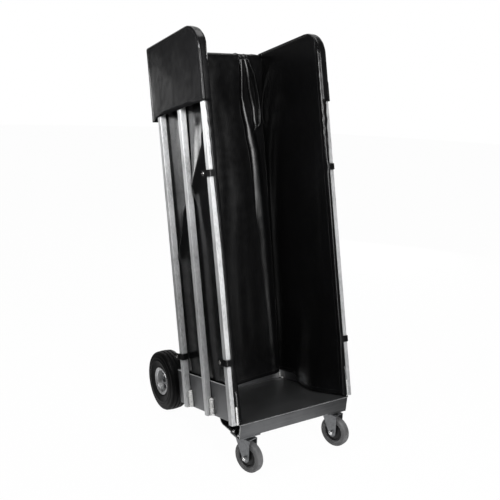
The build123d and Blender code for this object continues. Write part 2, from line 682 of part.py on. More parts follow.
swivel = radians(CASTER_SWIVEL)
roll_dir = Vector(cos(swivel), sin(swivel), 0)
ahead = Vector(sin(swivel), -cos(swivel), 0)
race_z = plate_z - PLATE_T - SWIVEL_GAP
crown_z = race_z - RACE_H
leg_top = crown_z - CASTER_R
fork_half = FORK_INSIDE / 2 + FORK_SHEET
for side_name, side in SIDES.items():
    pivot = Plane((side * CASTER_X, FLOOR_FRONT_Y + CASTER_BACK, 0))
    wheel_middle = pivot.origin + ahead * CASTER_TRAIL + Vector(0, 0, CASTER_R)
    section = Plane(wheel_middle, x_dir=roll_dir, z_dir=ahead)
    leg = Plane(wheel_middle, x_dir=ahead, z_dir=roll_dir * -1)
    roll = Axis(wheel_middle, roll_dir)

    with BuildPart() as caster_plate:
        with BuildSketch(pivot.offset(plate_z)):
            RectangleRounded(PLATE_X, PLATE_Y, PLATE_CORNER)
            Circle(KINGPIN_R + RUNNING, mode=Mode.SUBTRACT)
            with GridLocations(PLATE_BOLT_X, PLATE_BOLT_Y, 2, 2):
                Circle(BOLT_HOLE, mode=Mode.SUBTRACT)
        extrude(amount=-PLATE_T)
    save(caster_plate, f"{side_name}_caster_plate")

    with BuildPart() as kingpin:
        head_z = crown_z - FORK_SHEET - END_PLAY
        with BuildSketch(pivot.offset(plate_z)):
            Circle(KINGPIN_R)
        extrude(amount=head_z - plate_z)
        with BuildSketch(pivot.offset(head_z)):
            Circle(KINGPIN_HEAD_R)
        extrude(amount=-KINGPIN_HEAD_H)
        fillet(kingpin.edges().group_by(Axis.Z)[0], KINGPIN_HEAD_H / 2)
    save(kingpin, f"{side_name}_kingpin")

    with BuildPart() as swivel_race:
        with BuildSketch(pivot.offset(race_z)):
            Circle(RACE_R)
            Circle(KINGPIN_R + RUNNING, mode=Mode.SUBTRACT)
        extrude(amount=-RACE_H)
        fillet(swivel_race.edges().group_by(Axis.Z)[0].sort_by(SortBy.RADIUS)[-1], RACE_H / 2)
    save(swivel_race, f"{side_name}_swivel_race")

    with BuildPart() as caster_fork:
        with BuildSketch(section.offset(-FORK_REAR)):
            with BuildLine():
                FilletPolyline(
                    (-fork_half, -FORK_EYE),
                    (-fork_half, leg_top),
                    (fork_half, leg_top),
                    (fork_half, -FORK_EYE),
                    radius=FORK_BEND,
                )
                offset(amount=FORK_SHEET, side=Side.RIGHT)
            make_face()
        extrude(amount=FORK_REAR + FORK_FRONT)
        # side view of the legs
        with BuildSketch(leg.offset(-fork_half)):
            with BuildLine():
                Polyline(
                    (FORK_FRONT, 0),
                    (FORK_FRONT, leg_top),
                    (-FORK_REAR, leg_top),
                    (-FORK_REAR, leg_top - FORK_SHOULDER),
                    (-FORK_EYE, 0),
                    close=True,
                )
            make_face()
            Circle(FORK_EYE)
            Circle(AXLE_BOLT_R + RUNNING, mode=Mode.SUBTRACT)
        extrude(amount=2 * fork_half, mode=Mode.INTERSECT)
        with BuildSketch(pivot.offset(crown_z)):
            Circle(KINGPIN_R + RUNNING)
        extrude(amount=-FORK_SHEET, mode=Mode.SUBTRACT)
    save(caster_fork, f"{side_name}_caster_fork")

    # axle bolt with its head on the right and a domed nut on the left
    with BuildPart() as caster_axle:
        with BuildSketch(leg.offset(-fork_half)):
            RegularPolygon(AXLE_NUT_R, 6)
        extrude(amount=-AXLE_HEAD_H)
        with BuildSketch(leg.offset(-fork_half)):
            Circle(AXLE_BOLT_R)
        extrude(amount=2 * fork_half + AXLE_NUT_H)
    save(caster_axle, f"{side_name}_caster_axle")

    with BuildPart() as caster_nut:
        with BuildSketch(leg.offset(fork_half)):
            RegularPolygon(AXLE_NUT_R, 6)
        extrude(amount=AXLE_NUT_H)
        with BuildSketch(section):
            with BuildLine():
                dome = fork_half + AXLE_NUT_H
                Line((-dome, 0), (-dome, AXLE_DOME_R))
                ThreePointArc(
                    (-dome, AXLE_DOME_R),
                    (-dome - AXLE_DOME_R * sin(radians(45)), AXLE_DOME_R * cos(radians(45))),
                    (-dome - AXLE_DOME_R, 0),
                )
                Line((-dome - AXLE_DOME_R, 0), (-dome, 0))
            make_face()
        revolve(axis=roll)
        with BuildSketch(leg.offset(fork_half)):
            Circle(AXLE_BOLT_R + RUNNING)
        extrude(amount=AXLE_NUT_H + RUNNING, mode=Mode.SUBTRACT)
    save(caster_nut, f"{side_name}_caster_nut")

    with BuildPart() as caster_sleeve:
        with BuildSketch(leg.offset(-FORK_INSIDE / 2 + RUNNING)):
            Circle(SLEEVE_R)
            Circle(AXLE_BOLT_R + RUNNING, mode=Mode.SUBTRACT)
        extrude(amount=FORK_INSIDE - 2 * RUNNING)
    save(caster_sleeve, f"{side_name}_caster_sleeve")

    # core: a hub, a web and a rim, with a groove round the web on each side
    with BuildPart() as caster_core:
        with BuildSketch(section):
            for low, high, width in CORE_RINGS:
                with Locations((0, (low + high) / 2)):
                    Rectangle(width, high - low)
        revolve(axis=roll)
    save(caster_core, f"{side_name}_caster_core")

    with BuildPart() as caster_tyre:
        with BuildSketch(section) as caster_rubber:
            with Locations((0, (CORE_R + CASTER_R) / 2)):
                Rectangle(CASTER_W, CASTER_R - CORE_R)
            fillet(caster_rubber.vertices().group_by(Axis.Z)[-1], CASTER_SHOULDER)
        revolve(axis=roll)
    save(caster_tyre, f"{side_name}_caster_tyre")
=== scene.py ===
import math

import bmesh
import bpy
from bpy.props import FloatProperty, FloatVectorProperty, PointerProperty
from mathutils import Matrix, Vector, noise


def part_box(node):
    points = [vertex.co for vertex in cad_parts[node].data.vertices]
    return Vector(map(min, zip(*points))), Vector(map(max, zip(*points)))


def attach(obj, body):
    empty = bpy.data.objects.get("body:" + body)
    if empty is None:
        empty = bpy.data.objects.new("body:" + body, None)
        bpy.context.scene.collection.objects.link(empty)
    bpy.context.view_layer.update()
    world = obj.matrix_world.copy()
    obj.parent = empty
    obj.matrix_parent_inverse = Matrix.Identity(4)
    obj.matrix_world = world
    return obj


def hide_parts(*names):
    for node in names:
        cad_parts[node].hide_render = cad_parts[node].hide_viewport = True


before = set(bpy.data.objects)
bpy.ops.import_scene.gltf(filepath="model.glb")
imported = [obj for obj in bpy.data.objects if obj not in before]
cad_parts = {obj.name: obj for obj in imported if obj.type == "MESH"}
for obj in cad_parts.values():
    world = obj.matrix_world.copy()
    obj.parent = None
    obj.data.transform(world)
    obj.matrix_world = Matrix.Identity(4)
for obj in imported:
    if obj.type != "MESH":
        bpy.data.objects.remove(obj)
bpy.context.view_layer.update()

bl_info = {
    "name": "Ice cart",
    "version": (1, 0, 0),
    "blender": (4, 5, 0),
    "location": "3D View > Sidebar > Ice Cart",
    "description": "Dresses the frame of the ice cart in its vinyl, welds, rubber and metal finishes",
    "category": "Object",
}

MM = 0.001
SIDES = {"left": -1, "right": 1}

# The leaning tray: u across, v back along the floor, w up the posts, in millimetres
LEAN = math.radians(13.5)
DECK = (
    Matrix.Translation((0, -0.3755, 0.216))
    @ Matrix.Rotation(-LEAN, 4, "X")
    @ Matrix.Scale(MM, 4)
)
POST_V = {"front": 24.0, "middle": 218.0, "rear": 402.0}
POST_U = 277.7
TUBE = 25.4
WALL_U = 265.0
RIM_W = 140.0  # top of the tray's walls
CORNER_U, CORNER_V = 262.0, 502.0  # the tray's rear inner corners
BAR_V, BAR_W, BAR_R = 445.0, 1490.3, 12.7
STRAP_W = {"front": (240.0, 955.0), "rear": (215.0,)}


def length_of(name, description, value):
    """A length in millimetres that the user may change."""
    return FloatProperty(name=name, description=description, default=value * MM, unit="LENGTH")


def colour_of(name, description, value):
    """A colour that the user may change."""
    return FloatVectorProperty(
        name=name, description=description, default=value, subtype="COLOR", min=0, max=1
    )


class IceCartSizes(bpy.types.PropertyGroup):
    """Sizes of the soft pieces and beads"""

    vinyl: length_of("Vinyl", "Thickness of the vinyl sheet", 1.6)
    hem: length_of("Hem", "Width of a turned and sewn hem", 20)
    ridge: length_of("Corner ridge", "Height of the long ridge beside the liner's right rear corner", 14)
    belly: length_of("Foot belly", "How far the foot of the right panel bellies in over the floor", 35)
    strap: length_of("Strap", "Height of a strap", 25)
    stitch: length_of("Stitch", "Distance from one stitch to the next", 6)
    bead: length_of("Bead ripple", "Distance from one ripple of a weld bead to the next", 7.6)


class IceCartColours(bpy.types.PropertyGroup):
    """Colours of the finishes"""

    vinyl: colour_of("Vinyl", "Black coated cloth of the liner and hoods", (0.0042, 0.0042, 0.0045))
    thread: colour_of("Thread", "Sewing thread", (0.012, 0.012, 0.0126))
    post: colour_of("Posts", "Drawn aluminium tube", (0.6, 0.605, 0.61))
    sheet: colour_of("Sheet", "Rolled aluminium sheet of the tray", (0.13, 0.132, 0.136))
    # the colour of edges rubbed bright, also used for the painted highlights on the tray's top edge and rear
    # corners
    bare_and_highlight: colour_of("Bare edges", "Edges where the aluminium is rubbed bright", (0.78, 0.785, 0.79))
    weld: colour_of("Weld", "Weld beads", (0.92, 0.918, 0.905))
    zinc: colour_of("Zinc", "Plated steel of the casters, axle and bolts", (0.18, 0.184, 0.19))
    nut: colour_of("Caster nut", "Bright plate of the caster axles and their nuts", (0.72, 0.72, 0.72))
    rim: colour_of("Rim", "Plated pressings of the rear rims", (0.55, 0.555, 0.56))
    tyre: colour_of("Tyre", "Black rubber of the rear tyres", (0.0032, 0.0032, 0.0034))
    caster: colour_of("Caster tyre", "Grey rubber of the caster tyres", (0.13, 0.13, 0.132))
    core: colour_of("Caster core", "Moulded cores of the caster wheels", (0.014, 0.014, 0.0145))
    snap: colour_of("Snap", "Nickel plate of the press snaps", (0.3, 0.294, 0.285))
    floor: colour_of("Floor", "Studio floor", (0.9, 0.9, 0.9))
    dim_floor: colour_of("Floor aside", "Studio floor beside and before the sweep", (0.2, 0.2, 0.2))


# Node helpers
RAYS = 6  # rays that a bevel or an occlusion node casts


def feed(tree, socket, value):
    """Give a socket a link or a value."""
    if isinstance(value, bpy.types.NodeSocket):
        tree.links.new(value, socket)
    else:
        socket.default_value = value


def put(tree, kind, sockets=None, **settings):
    """Add a node: a socket gets a value or a link, a setting is one of the node's own properties."""
    made = tree.nodes.new(kind)
    for name, value in settings.items():
        setattr(made, name, value)
    for name, value in (sockets or {}).items():
        feed(tree, made.inputs[name], value)
    return made


def numbers(tree, operation, *values):
    """A number worked out from others."""
    return put(tree, "ShaderNodeMath", dict(enumerate(values)), operation=operation).outputs[0]


def vectors(tree, operation, *values):
    """A vector worked out from others, or a number where the operation gives one."""
    made = put(tree, "ShaderNodeVectorMath", dict(enumerate(values)), operation=operation)
    return made.outputs["Value" if operation in ("DOT_PRODUCT", "DISTANCE") else "Vector"]


def between(tree, share, a, b):
    """A number on the way from one to another."""
    return put(tree, "ShaderNodeMix", {0: share, 2: a, 3: b}, data_type="FLOAT").outputs[0]


def mixed(tree, share, a, b, how="MIX"):
    """A colour mixed from two."""
    sockets = {0: share, 6: a, 7: b}
    return put(tree, "ShaderNodeMix", sockets, data_type="RGBA", blend_type=how).outputs[2]


def begin(name):
    """A new material: its node tree and its shader."""
    material = bpy.data.materials.new(name)
    material.use_nodes = True
    return material, material.node_tree, material.node_tree.nodes["Principled BSDF"]


def coords(tree, turn=0.0, stretch=(1, 1, 1), place=(0, 0, 0)):
    """Object coordinates, moved, turned about X and stretched."""
    moved = vectors(tree, "SUBTRACT", put(tree, "ShaderNodeTexCoord").outputs["Object"], place)
    sockets = {"Vector": moved, "Rotation": (turn, 0, 0), "Scale": stretch}
    return put(tree, "ShaderNodeMapping", sockets).outputs["Vector"]


def clouds(tree, vector, scale, detail=3.0, rough=0.5, distort=0.0):
    """A noise from 0 to 1."""
    sockets = {"Vector": vector, "Scale": scale, "Detail": detail, "Roughness": rough}
    return put(tree, "ShaderNodeTexNoise", sockets | {"Distortion": distort}).outputs["Fac"]


def spread(tree, fac, low, high, start=0.3, end=0.7):
    """A noise spread over a range of numbers."""
    sockets = {"Value": fac, "From Min": start, "From Max": end, "To Min": low, "To Max": high}
    return put(tree, "ShaderNodeMapRange", sockets).outputs["Result"]


def shades(tree, fac, colour, *stops):
    """A noise turned into shades of a colour: each stop is a place and how light the shade is."""
    ramp = put(tree, "ShaderNodeValToRGB", {"Fac": fac})
    elements = ramp.color_ramp.elements
    while len(elements) < len(stops):
        elements.new(0.5)
    for element, (place, light) in zip(elements, stops):
        element.position = place
        element.color = (*(min(1.0, c * light) for c in colour), 1)
    return ramp.outputs["Color"]


def relief(tree, height, depth, strength=1.0, under=None):
    """A bump of that depth, laid over another."""
    sockets = {"Height": height, "Distance": depth, "Strength": strength}
    if under is not None:
        sockets["Normal"] = under
    return put(tree, "ShaderNodeBump", sockets).outputs["Normal"]


def join(tree, shader, **sockets):
    """Links and values for the shader's own sockets."""
    for name, value in sockets.items():
        feed(tree, shader.inputs[name.replace("_", " ")], value)


# Finishes


def vinyl_finish(colour):
    """Black coated cloth: a fine pressed grain, soft creases and a dull sheen."""
    material, tree, shader = begin("black_vinyl")
    at = coords(tree)
    cells = {"Vector": at, "Scale": 950.0, "Smoothness": 0.6}
    grain = put(tree, "ShaderNodeTexVoronoi", cells, feature="SMOOTH_F1").outputs["Distance"]
    crease = clouds(tree, at, 34.0, 4.0, 0.5, 0.3)
    creased = relief(tree, crease, 0.5 * MM, 0.03)
    worn = clouds(tree, at, 5.0, 6.0, 0.6)
    join(
        tree,
        shader,
        Base_Color=shades(tree, worn, colour, (0.25, 0.7), (0.55, 1), (0.8, 1.7)),
        Roughness=spread(tree, crease, 0.19, 0.27),
        Normal=relief(tree, grain, 0.12 * MM, 0.05, creased),
        Specular_IOR_Level=0.48,
    )
    return material


def thread_finish(colour):
    """Twisted black sewing thread."""
    material, tree, shader = begin("sewing_thread")
    twist = clouds(tree, coords(tree), 900.0, 2.0)
    join(
        tree,
        shader,
        Base_Color=shades(tree, twist, colour, (0.3, 0.6), (0.7, 1.8)),
        Roughness=0.7,
        Normal=relief(tree, twist, 0.2 * MM),
    )
    return material


def worn_edges(tree, reach):
    """Normals rounded off along the edges, and a mask that is 1 there."""
    rounded = put(tree, "ShaderNodeBevel", {"Radius": reach}, samples=RAYS).outputs["Normal"]
    plain = put(tree, "ShaderNodeNewGeometry").outputs["Normal"]
    return rounded, spread(tree, vectors(tree, "DOT_PRODUCT", rounded, plain), 1.0, 0.0, 0.82, 0.97)


def painted_corner_shade(tree, reach):
    """Painted shade: 1 on open surfaces, falling in the corners, where the colour is darkened as if shaded.
    """
    share = put(tree, "ShaderNodeAmbientOcclusion", {"Distance": reach}, samples=RAYS).outputs["AO"]
    return spread(tree, share, 0.12, 1.0, 0.45, 0.85)


def painted_corner_and_rim_highlights(tree):
    """Painted highlights: 1 beside the beads in the tray's rear corners and along the top edge of its walls,
    where the colour is lightened to bare metal.
    """
    deck = coords(tree, LEAN, place=DECK.translation)
    folded = vectors(tree, "ABSOLUTE", deck)
    level = vectors(tree, "MULTIPLY", folded, (1, 1, 0))
    apart = vectors(tree, "DISTANCE", level, (CORNER_U * MM, CORNER_V * MM, 0))
    wander = numbers(tree, "MULTIPLY_ADD", clouds(tree, deck, 55.0, 3.0, 0.6), 0.05, apart)
    near = spread(tree, wander, 0.6, 0.0, 0.03, 0.068)
    across, along, rise = put(tree, "ShaderNodeSeparateXYZ", {0: folded}).outputs
    for distance, wall in ((across, CORNER_U), (along, CORNER_V)):
        inside = numbers(tree, "LESS_THAN", distance, (wall + 1.5) * MM)
        near = numbers(tree, "MULTIPLY", near, inside)
    top = spread(tree, rise, 0.0, 0.9, (RIM_W - 3.2) * MM, (RIM_W - 1.8) * MM)
    return numbers(tree, "MAXIMUM", near, top)


def drawn_metal_finish(name, colour, bare_and_highlight, stretch, low, high, metallic, reach, painted_highlights=None):
    """Mill-finish metal: fine lines along the way it was drawn or rolled, smudges and bare edges, painted
    shade in its corners and, where given, painted highlights.
    """
    material, tree, shader = begin(name)
    rounded, worn = worn_edges(tree, reach)
    # the painted highlights, where given, join the worn edges and take the same bare colour
    if painted_highlights:
        worn = numbers(tree, "MAXIMUM", worn, painted_highlights(tree))
    plain = coords(tree)
    lines = clouds(tree, coords(tree, LEAN, stretch), 1.0, 5.0, 0.65)
    smudge = clouds(tree, plain, 7.0, 5.0, 0.6, 0.6)
    speck = clouds(tree, plain, 160.0, 3.0, 0.6)
    both = between(tree, 0.45, lines, smudge)
    skin = shades(tree, both, colour, (0.34, 0.62), (0.48, 1), (0.66, 1.3))
    skin = mixed(tree, worn, skin, (*bare_and_highlight, 1))
    brushed = relief(tree, lines, 0.22 * MM, 0.4, rounded)
    join(
        tree,
        shader,
        # the skin is darkened by painted shade in corners and beside the posts
        Base_Color=mixed(tree, 1.0, skin, painted_corner_shade(tree, 9 * MM), "MULTIPLY"),
        Metallic=spread(tree, worn, metallic, 0.35, 0.0, 1.0),
        Roughness=spread(tree, both, low, high),
        Normal=relief(tree, speck, 0.15 * MM, 0.25, brushed),
    )
    return material


def weld_finish(colour):
    """Bright weld metal, dull and a little sooty in random patches."""
    material, tree, shader = begin("weld_bead")
    at = coords(tree)
    soot = clouds(tree, at, 60.0, 5.0, 0.6)
    join(
        tree,
        shader,
        Base_Color=shades(tree, soot, colour, (0.26, 0.6), (0.42, 0.97), (0.65, 1.06)),
        Metallic=0.12,
        Roughness=spread(tree, soot, 0.26, 0.42),
        Normal=relief(tree, clouds(tree, at, 420.0, 3.0), 0.3 * MM, 0.5),
    )
    return material


def plated_finish(name, colour, low=0.3, high=0.46):
    """Zinc or nickel plate: faint crystals, water marks and a satin gloss."""
    material, tree, shader = begin(name)
    at = coords(tree)
    crystal = put(tree, "ShaderNodeTexVoronoi", {"Vector": at, "Scale": 260.0}).outputs["Color"]
    grey = put(tree, "ShaderNodeRGBToBW", {"Color": crystal}).outputs[0]
    marks = clouds(tree, at, 26.0, 5.0, 0.6, 0.8)
    both = between(tree, 0.3, marks, grey)
    join(
        tree,
        shader,
        Base_Color=shades(tree, both, colour, (0.3, 0.68), (0.5, 1), (0.75, 1.25)),
        Metallic=0.9,
        Roughness=spread(tree, marks, low, high),
        Normal=relief(tree, clouds(tree, at, 300.0, 2.0), 0.1 * MM, 0.3),
    )
    return material


def rubber_finish(name, colour, low, high, dust, gloss=0.22):
    """Rubber with a fine moulded skin, and dust in it."""
    material, tree, shader = begin(name)
    at = coords(tree)
    dirt = clouds(tree, at, 32.0, 6.0, 0.65, 0.5)
    skin = clouds(tree, at, 700.0, 2.0)
    join(
        tree,
        shader,
        Base_Color=shades(tree, dirt, colour, (0.3, 0.7), (0.52, 1), (0.78, dust)),
        Roughness=spread(tree, dirt, low, high),
        Normal=relief(tree, skin, 0.15 * MM, 0.5, relief(tree, dirt, 0.4 * MM, 0.2)),
        Specular_IOR_Level=gloss,
    )
    return material


def dress(material, *names):
    """Give CAD nodes a finish."""
    for name in names:
        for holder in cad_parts[name].material_slots:
            holder.material = material


# Shapes


def smooth(x, low, high):
    """From 0 at low to 1 at high, easing at both ends."""
    t = min(max((x - low) / (high - low), 0.0), 1.0)
    return t * t * (3 - 2 * t)


def swell(x, width):
    """A soft rise, 1 in the middle."""
    return math.exp(-((x / width) ** 2))


def bumps(table, v, w):
    """Soft swellings added up: each row is height, place, half width, level, half height and slant."""
    return sum(
        high * swell(v - place - slant * (w - level), wide) * swell(w - level, tall)
        for high, place, wide, level, tall, slant in table
    )


def lap(x, before, after, crisp=1.0):
    """A lapped fold, 1 at its crest: before it a face that is round if crisp, after it a soft fall."""
    soft = 0.5 + 0.5 * math.cos(math.pi * min(abs(x) / (before if x < 0 else after), 1.0))
    if x < 0:
        return soft + crisp * (math.sqrt(max(1 - (x / before) ** 2, 0.0)) - soft)
    return soft


def follow(line, w):
    """Where a fold's line is at a height: line holds (height, place) from the top down."""
    if w >= line[0][0]:
        return line[0][1]
    for (high, a), (low, b) in zip(line, line[1:]):
        if w >= low:
            return a + (b - a) * (high - w) / (high - low)
    return line[-1][1]


def finish_mesh(bm, name, material, place=None, shade=True):
    """Close a bmesh into an object at the origin, with its place in its mesh."""
    if place is not None:
        bmesh.ops.transform(bm, matrix=place, verts=bm.verts)
    mesh = bpy.data.meshes.new(name)
    bm.to_mesh(mesh)
    bm.free()
    for face in mesh.polygons:
        face.use_smooth = shade
    mesh.materials.append(material)
    made = bpy.data.objects.new(name, mesh)
    bpy.context.scene.collection.objects.link(made)
    return made


def thicken(made, thickness, offset):
    """Give a sheet its thickness."""
    wall = made.modifiers.new("thickness", "SOLIDIFY")
    wall.thickness, wall.offset = thickness, offset


def mapped_grid(columns, rows, place):
    """A grid whose points are put where place(column, row) says."""
    bm = bmesh.new()
    bmesh.ops.create_grid(bm, x_segments=columns, y_segments=rows, size=1)
    for vert in bm.verts:
        column = round((vert.co.x + 1) / 2 * columns)
        row = round((vert.co.y + 1) / 2 * rows)
        vert.co = place(column, row)
    return bm


def gather(bm, other):
    """Add another bmesh to this one."""
    held = bpy.data.meshes.new("held")
    other.to_mesh(held)
    other.free()
    bm.from_mesh(held)
    bpy.data.meshes.remove(held)


def spun(points, closed, axis, steps):
    """A section spun round an axis through the origin: its points are a closed or an open line."""
    bm = bmesh.new()
    verts = [bm.verts.new(point) for point in points]
    following = verts[1:] + verts[:1] if closed else verts[1:]
    edges = [bm.edges.new(pair) for pair in zip(verts, following)]
    bmesh.ops.spin(
        bm, geom=verts + edges, cent=(0, 0, 0), axis=axis, angle=math.tau, steps=steps, use_merge=True
    )
    bmesh.ops.remove_doubles(bm, verts=bm.verts, dist=0.01)
    return bm


STITCH_ENDS = 0.45, 0.3  # radii of a stitch at its two ends
STITCH_SHARE = 0.68  # how much of the way to the next stitch it fills
SEAM_IN = 3  # how far inside a hem's inner edge its stitches run


def sew(bm, points, normals, pitch):
    """Stitches along a line: low six-sided bars with tapered ends."""
    for a, b, normal in zip(points, points[1:], normals):
        run = b - a
        count = max(1, round(run.length / pitch))
        x, z = run.normalized(), normal.normalized()
        turn = Matrix((x, z.cross(x), z)).transposed().to_4x4()
        for k in range(count):
            centre = a + run * ((k + 0.5) / count)
            bmesh.ops.create_cone(
                bm,
                cap_ends=True,
                segments=6,
                radius1=STITCH_ENDS[0],
                radius2=STITCH_ENDS[1],
                depth=run.length / count * STITCH_SHARE,
                matrix=Matrix.Translation(centre) @ turn @ Matrix.Rotation(math.pi / 2, 4, "Y"),
            )


# Liner: lines of its folds, as (height, place) from the top down
RIDGE = (
    (1484, 146), (1396, 149), (1309, 151), (1287, 158), (1203, 172), (1140, 191), (1076, 205),
    (894, 217), (663, 226), (431, 226), (169, 226), (42, 228),
)
TUCK_LEFT = (
    (1482, 168), (1439, 180), (1358, 193), (1309, 205), (1266, 216), (1218, 216), (1195, 219), (1180, 226),
)
TUCK_RIGHT = (
    (1484, 181), (1459, 190), (1415, 211), (1343, 232), (1303, 239), (1266, 243), (1225, 243), (1196, 238),
    (1182, 230),
)
# soft folds of the back panel: line, depth, width
BACK_FOLDS = (
    (((1490, 30), (1340, 42), (1220, 74), (1080, 87), (854, 95), (675, 70), (400, 55), (56, 60)), 3.2, 40),
    (((1490, -10), (1082, 22), (882, 15), (600, -12), (50, -20)), 1.8, 26),
    (((1490, 104), (1300, 110), (1078, 128), (850, 130), (391, 126), (50, 130)), 1.8, 28),
    (((1490, -95), (900, -112), (50, -104)), 3, 46),
    (((1490, -160), (900, -170), (50, -178)), -3, 36),
    (((1490, -205), (900, -214), (50, -210)), 2.5, 26),
)
# the long fold of the left panel
LEFT_CREST = (
    (1117, 8), (1065, 48), (1008, 95), (946, 148), (904, 190), (818, 276), (730, 312), (698, 338), (606, 410),
)
# bays between the posts on the left side: start, end, how far the panel stands out, how hollow its fall is
LEFT_BAYS = ((37.0, 205.0, 28.0, 0.55), (231.0, 389.0, 27.0, 2.2))
CREST_SOFT, CREST_FACE = 6, 15  # how round the long fold's crest is, and how soon it falls before it
OFF_WALL = 2.2  # the left panel keeps this far off the tray's wall and the posts
# swellings of the side panels: height, place, half width, level, half height, slant
LEFT_SWELLS = ((5, 158, 30, 840, 110, 0), (3, 124.5, 26, 1160, 12, 0.5))
RIGHT_SWELLS = (
    (-7, 300, 60, 245, 90, 0),
    (4, 120, 70, 330, 160, 0),
    (3, 62.92, 30, 800, 330, -0.08),
    (-3, 200, 90, 760, 260, 0),
)
# how far the two front hems lap over the front posts
LAPS = {
    "left": ((1225, 17), (1135, 13), (1040, 11), (895, 9.5), (704, 5), (512, 4.5), (273, 6.5), (177, 8)),
    "right": ((1225, 12), (1150, 9.5), (1000, 5.5), (900, 4.8)),
}
CORNER = 1.0  # radius of the liner's two rear corners
FRONT_EDGE = 10.0
HEM_TURN = 1.5
PANEL_RUN = 440.0  # a side panel from its front edge to its rear corner
FOOT_HALF = 249.0  # half of the liner's width at its foot
BACK_V, BACK_FALL = 458.0, 28.0  # the back's place at the handle, and how much further back it falls
LEFT_FOOT, RIGHT_FOOT, BACK_FOOT = 10.0, 5.0, 15.0  # the hem above the tray's floor
HOOD_CORNER, HOOD_FRONT, HOOD_TOP = 100.0, 6.0, 1510.0
SIDE_TOP = 1506.0
FRONT_HEM, FOOT_HEM = 1.3, 1.0  # how far the doubled cloth of a hem stands out
ROUND_START, ROUND_END = 330, 430  # the back's folds fade over this stretch of a side panel
# shares of the back panel's width at which its columns keep to the ridge and to the tuck's two edges
SOFT_END, ON_RIDGE, ON_LEFT, ON_RIGHT = 0.63, 0.82, 0.875, 0.935
SOFT_U = 60.0
# share of the width that the round face of a fold takes up before its crest
FACE = 0.024
LINER_ROWS = 168
# the sleeve round the handle: angles round it, then drops behind it, and its lumps as height, place, width
SLEEVE = (*((180 - 20 * k, 0.0) for k in range(1, 10)), *((0, 12.0 * k) for k in range(1, 5)))
SLEEVE_DROP = SLEEVE[-1][1]
SLEEVE_LUMPS = ((3.4, 129, 9), (2.6, 220, 10), (1.5, 172, 6))
SLEEVE_GAP = 1.6  # from the handle to the middle of the cloth
SLEEVE_END = 255  # beyond this the sleeve runs on to the hood
SLEEVE_SWING = 21  # how far forward its lower edge is sewn down


def half_width(w):
    """From the middle of the cart to a side panel."""
    return FOOT_HALF + 6 * smooth(w, 0, 320) + 3.5 * smooth(w, 320, 1220)


def back_place(w):
    """How far back the back panel hangs: it leaves the front of the handle and falls back."""
    return BACK_V + BACK_FALL * (BAR_W - w) / BAR_W - BACK_FALL * smooth(w, 1250, 1478)


def side_top(v):
    """The top edge of a side panel, which follows the hood's corner."""
    inside = HOOD_FRONT + HOOD_CORNER - v
    if inside <= 0:
        return SIDE_TOP
    arc = HOOD_TOP - HOOD_CORNER + math.sqrt(max(HOOD_CORNER**2 - inside**2, 0))
    return min(SIDE_TOP, arc)


def folded_edges(w, flat):
    """Where the ridge and the two edges of the tuck under the handle are at a height."""
    ridge = follow(RIDGE, w)
    third = (flat - ridge) / 3
    tucked = smooth(w, 1110, 1176)
    left = ridge + third + tucked * (follow(TUCK_LEFT, w) - ridge - third)
    right = ridge + 2 * third + tucked * (follow(TUCK_RIGHT, w) - ridge - 2 * third)
    right = min(max(right, ridge + 9), flat - 3)
    return ridge, min(max(left, ridge + 4), right - 2.5), right


def fold_faces(w, flat):
    """How wide the round faces of the ridge and of the tuck's two edges are at a height."""
    ridge, left, right = folded_edges(w, flat)
    ridge_face = 20 + 14 * smooth(w, 250, 600) - 14 * smooth(w, 1120, 1200) - 10 * smooth(w, 1240, 1320)
    return ridge_face, min(14, 0.5 * (left - ridge)), min(11, 0.5 * (right - left))


def back_across(share, w, flat):
    """Where a column of the back panel is at a height: some columns keep to the folded edges."""
    ridge, left, right = folded_edges(w, flat)
    ridge_face, left_face, right_face = fold_faces(w, flat)
    stops = (
        (0.0, -flat), (SOFT_END, SOFT_U),
        (ON_RIDGE - FACE, ridge - ridge_face), (ON_RIDGE, ridge),
        (ON_LEFT - FACE, left - left_face), (ON_LEFT, left),
        (ON_RIGHT - FACE, right - right_face), (ON_RIGHT, right), (1.0, flat),
    )
    for (before, a), (after, b) in zip(stops, stops[1:]):
        if share <= after:
            return a + (b - a) * (share - before) / (after - before)
    return flat


def strap_pull(v, w):
    """Creases that run out from the straps on a panel's front edge."""
    pull = 0.0
    for height in STRAP_W["front"]:
        reach = math.hypot(v - FRONT_EDGE, (w - height) * 0.8)
        angle = math.atan2(w - height, v - FRONT_EDGE + 14)
        pull += 3.6 * math.exp(-reach / 55) * math.cos(6.5 * angle + 0.6) * smooth(v, 6, 40)
        pull -= 3.0 * swell(w - height, 30) * swell(v - FRONT_EDGE, 26)
    return pull


def left_folds(v, w):
    """The left panel: a long fold falls from the front post under the hood to the rear post."""
    crest = follow(LEFT_CREST, w)
    bulge = 0.0
    for start, end, out, hollow in LEFT_BAYS:
        if start <= v <= end:
            from_crest = v - max(crest, start)
            behind = 0.5 * (from_crest + math.hypot(from_crest, CREST_SOFT))
            before = 0.5 * (math.hypot(from_crest, CREST_SOFT) - from_crest)
            run = max(end - max(crest, start), 12.0)
            bulge = out * max(1 - behind / run, 0.0) ** hollow * math.exp(-before / CREST_FACE)
    bulge *= (0.45 + 0.55 * smooth(-w, -1200, -1060)) * (1 - smooth(w, 1186, 1224))
    bulge += bumps(LEFT_SWELLS, v, w)
    spare = min(max(abs(v - back) - TUBE / 2, 0) for back in POST_V.values())
    bulge = min(bulge, WALL_U - OFF_WALL - half_width(w) + 0.75 * spare)
    return 0.6 * math.sin(v / 52.0 + 0.8) * swell(w - 330, 330) * smooth(v, 10, 60) - bulge


def right_folds(v, w, belly):
    """The right panel: nearly flat above, bellied in over the floor at its foot."""
    foot = math.sin(math.pi * min(max((v - 36) / 294, 0), 1)) ** 1.3
    fold = belly * foot * math.exp(-((max(w, 0) / 120) ** 1.25)) + bumps(RIGHT_SWELLS, v, w)
    puckers = math.sin(w / 9.0) * swell(v - 30, 16) * swell(w - 1130, 70)
    return fold + 1.3 * puckers


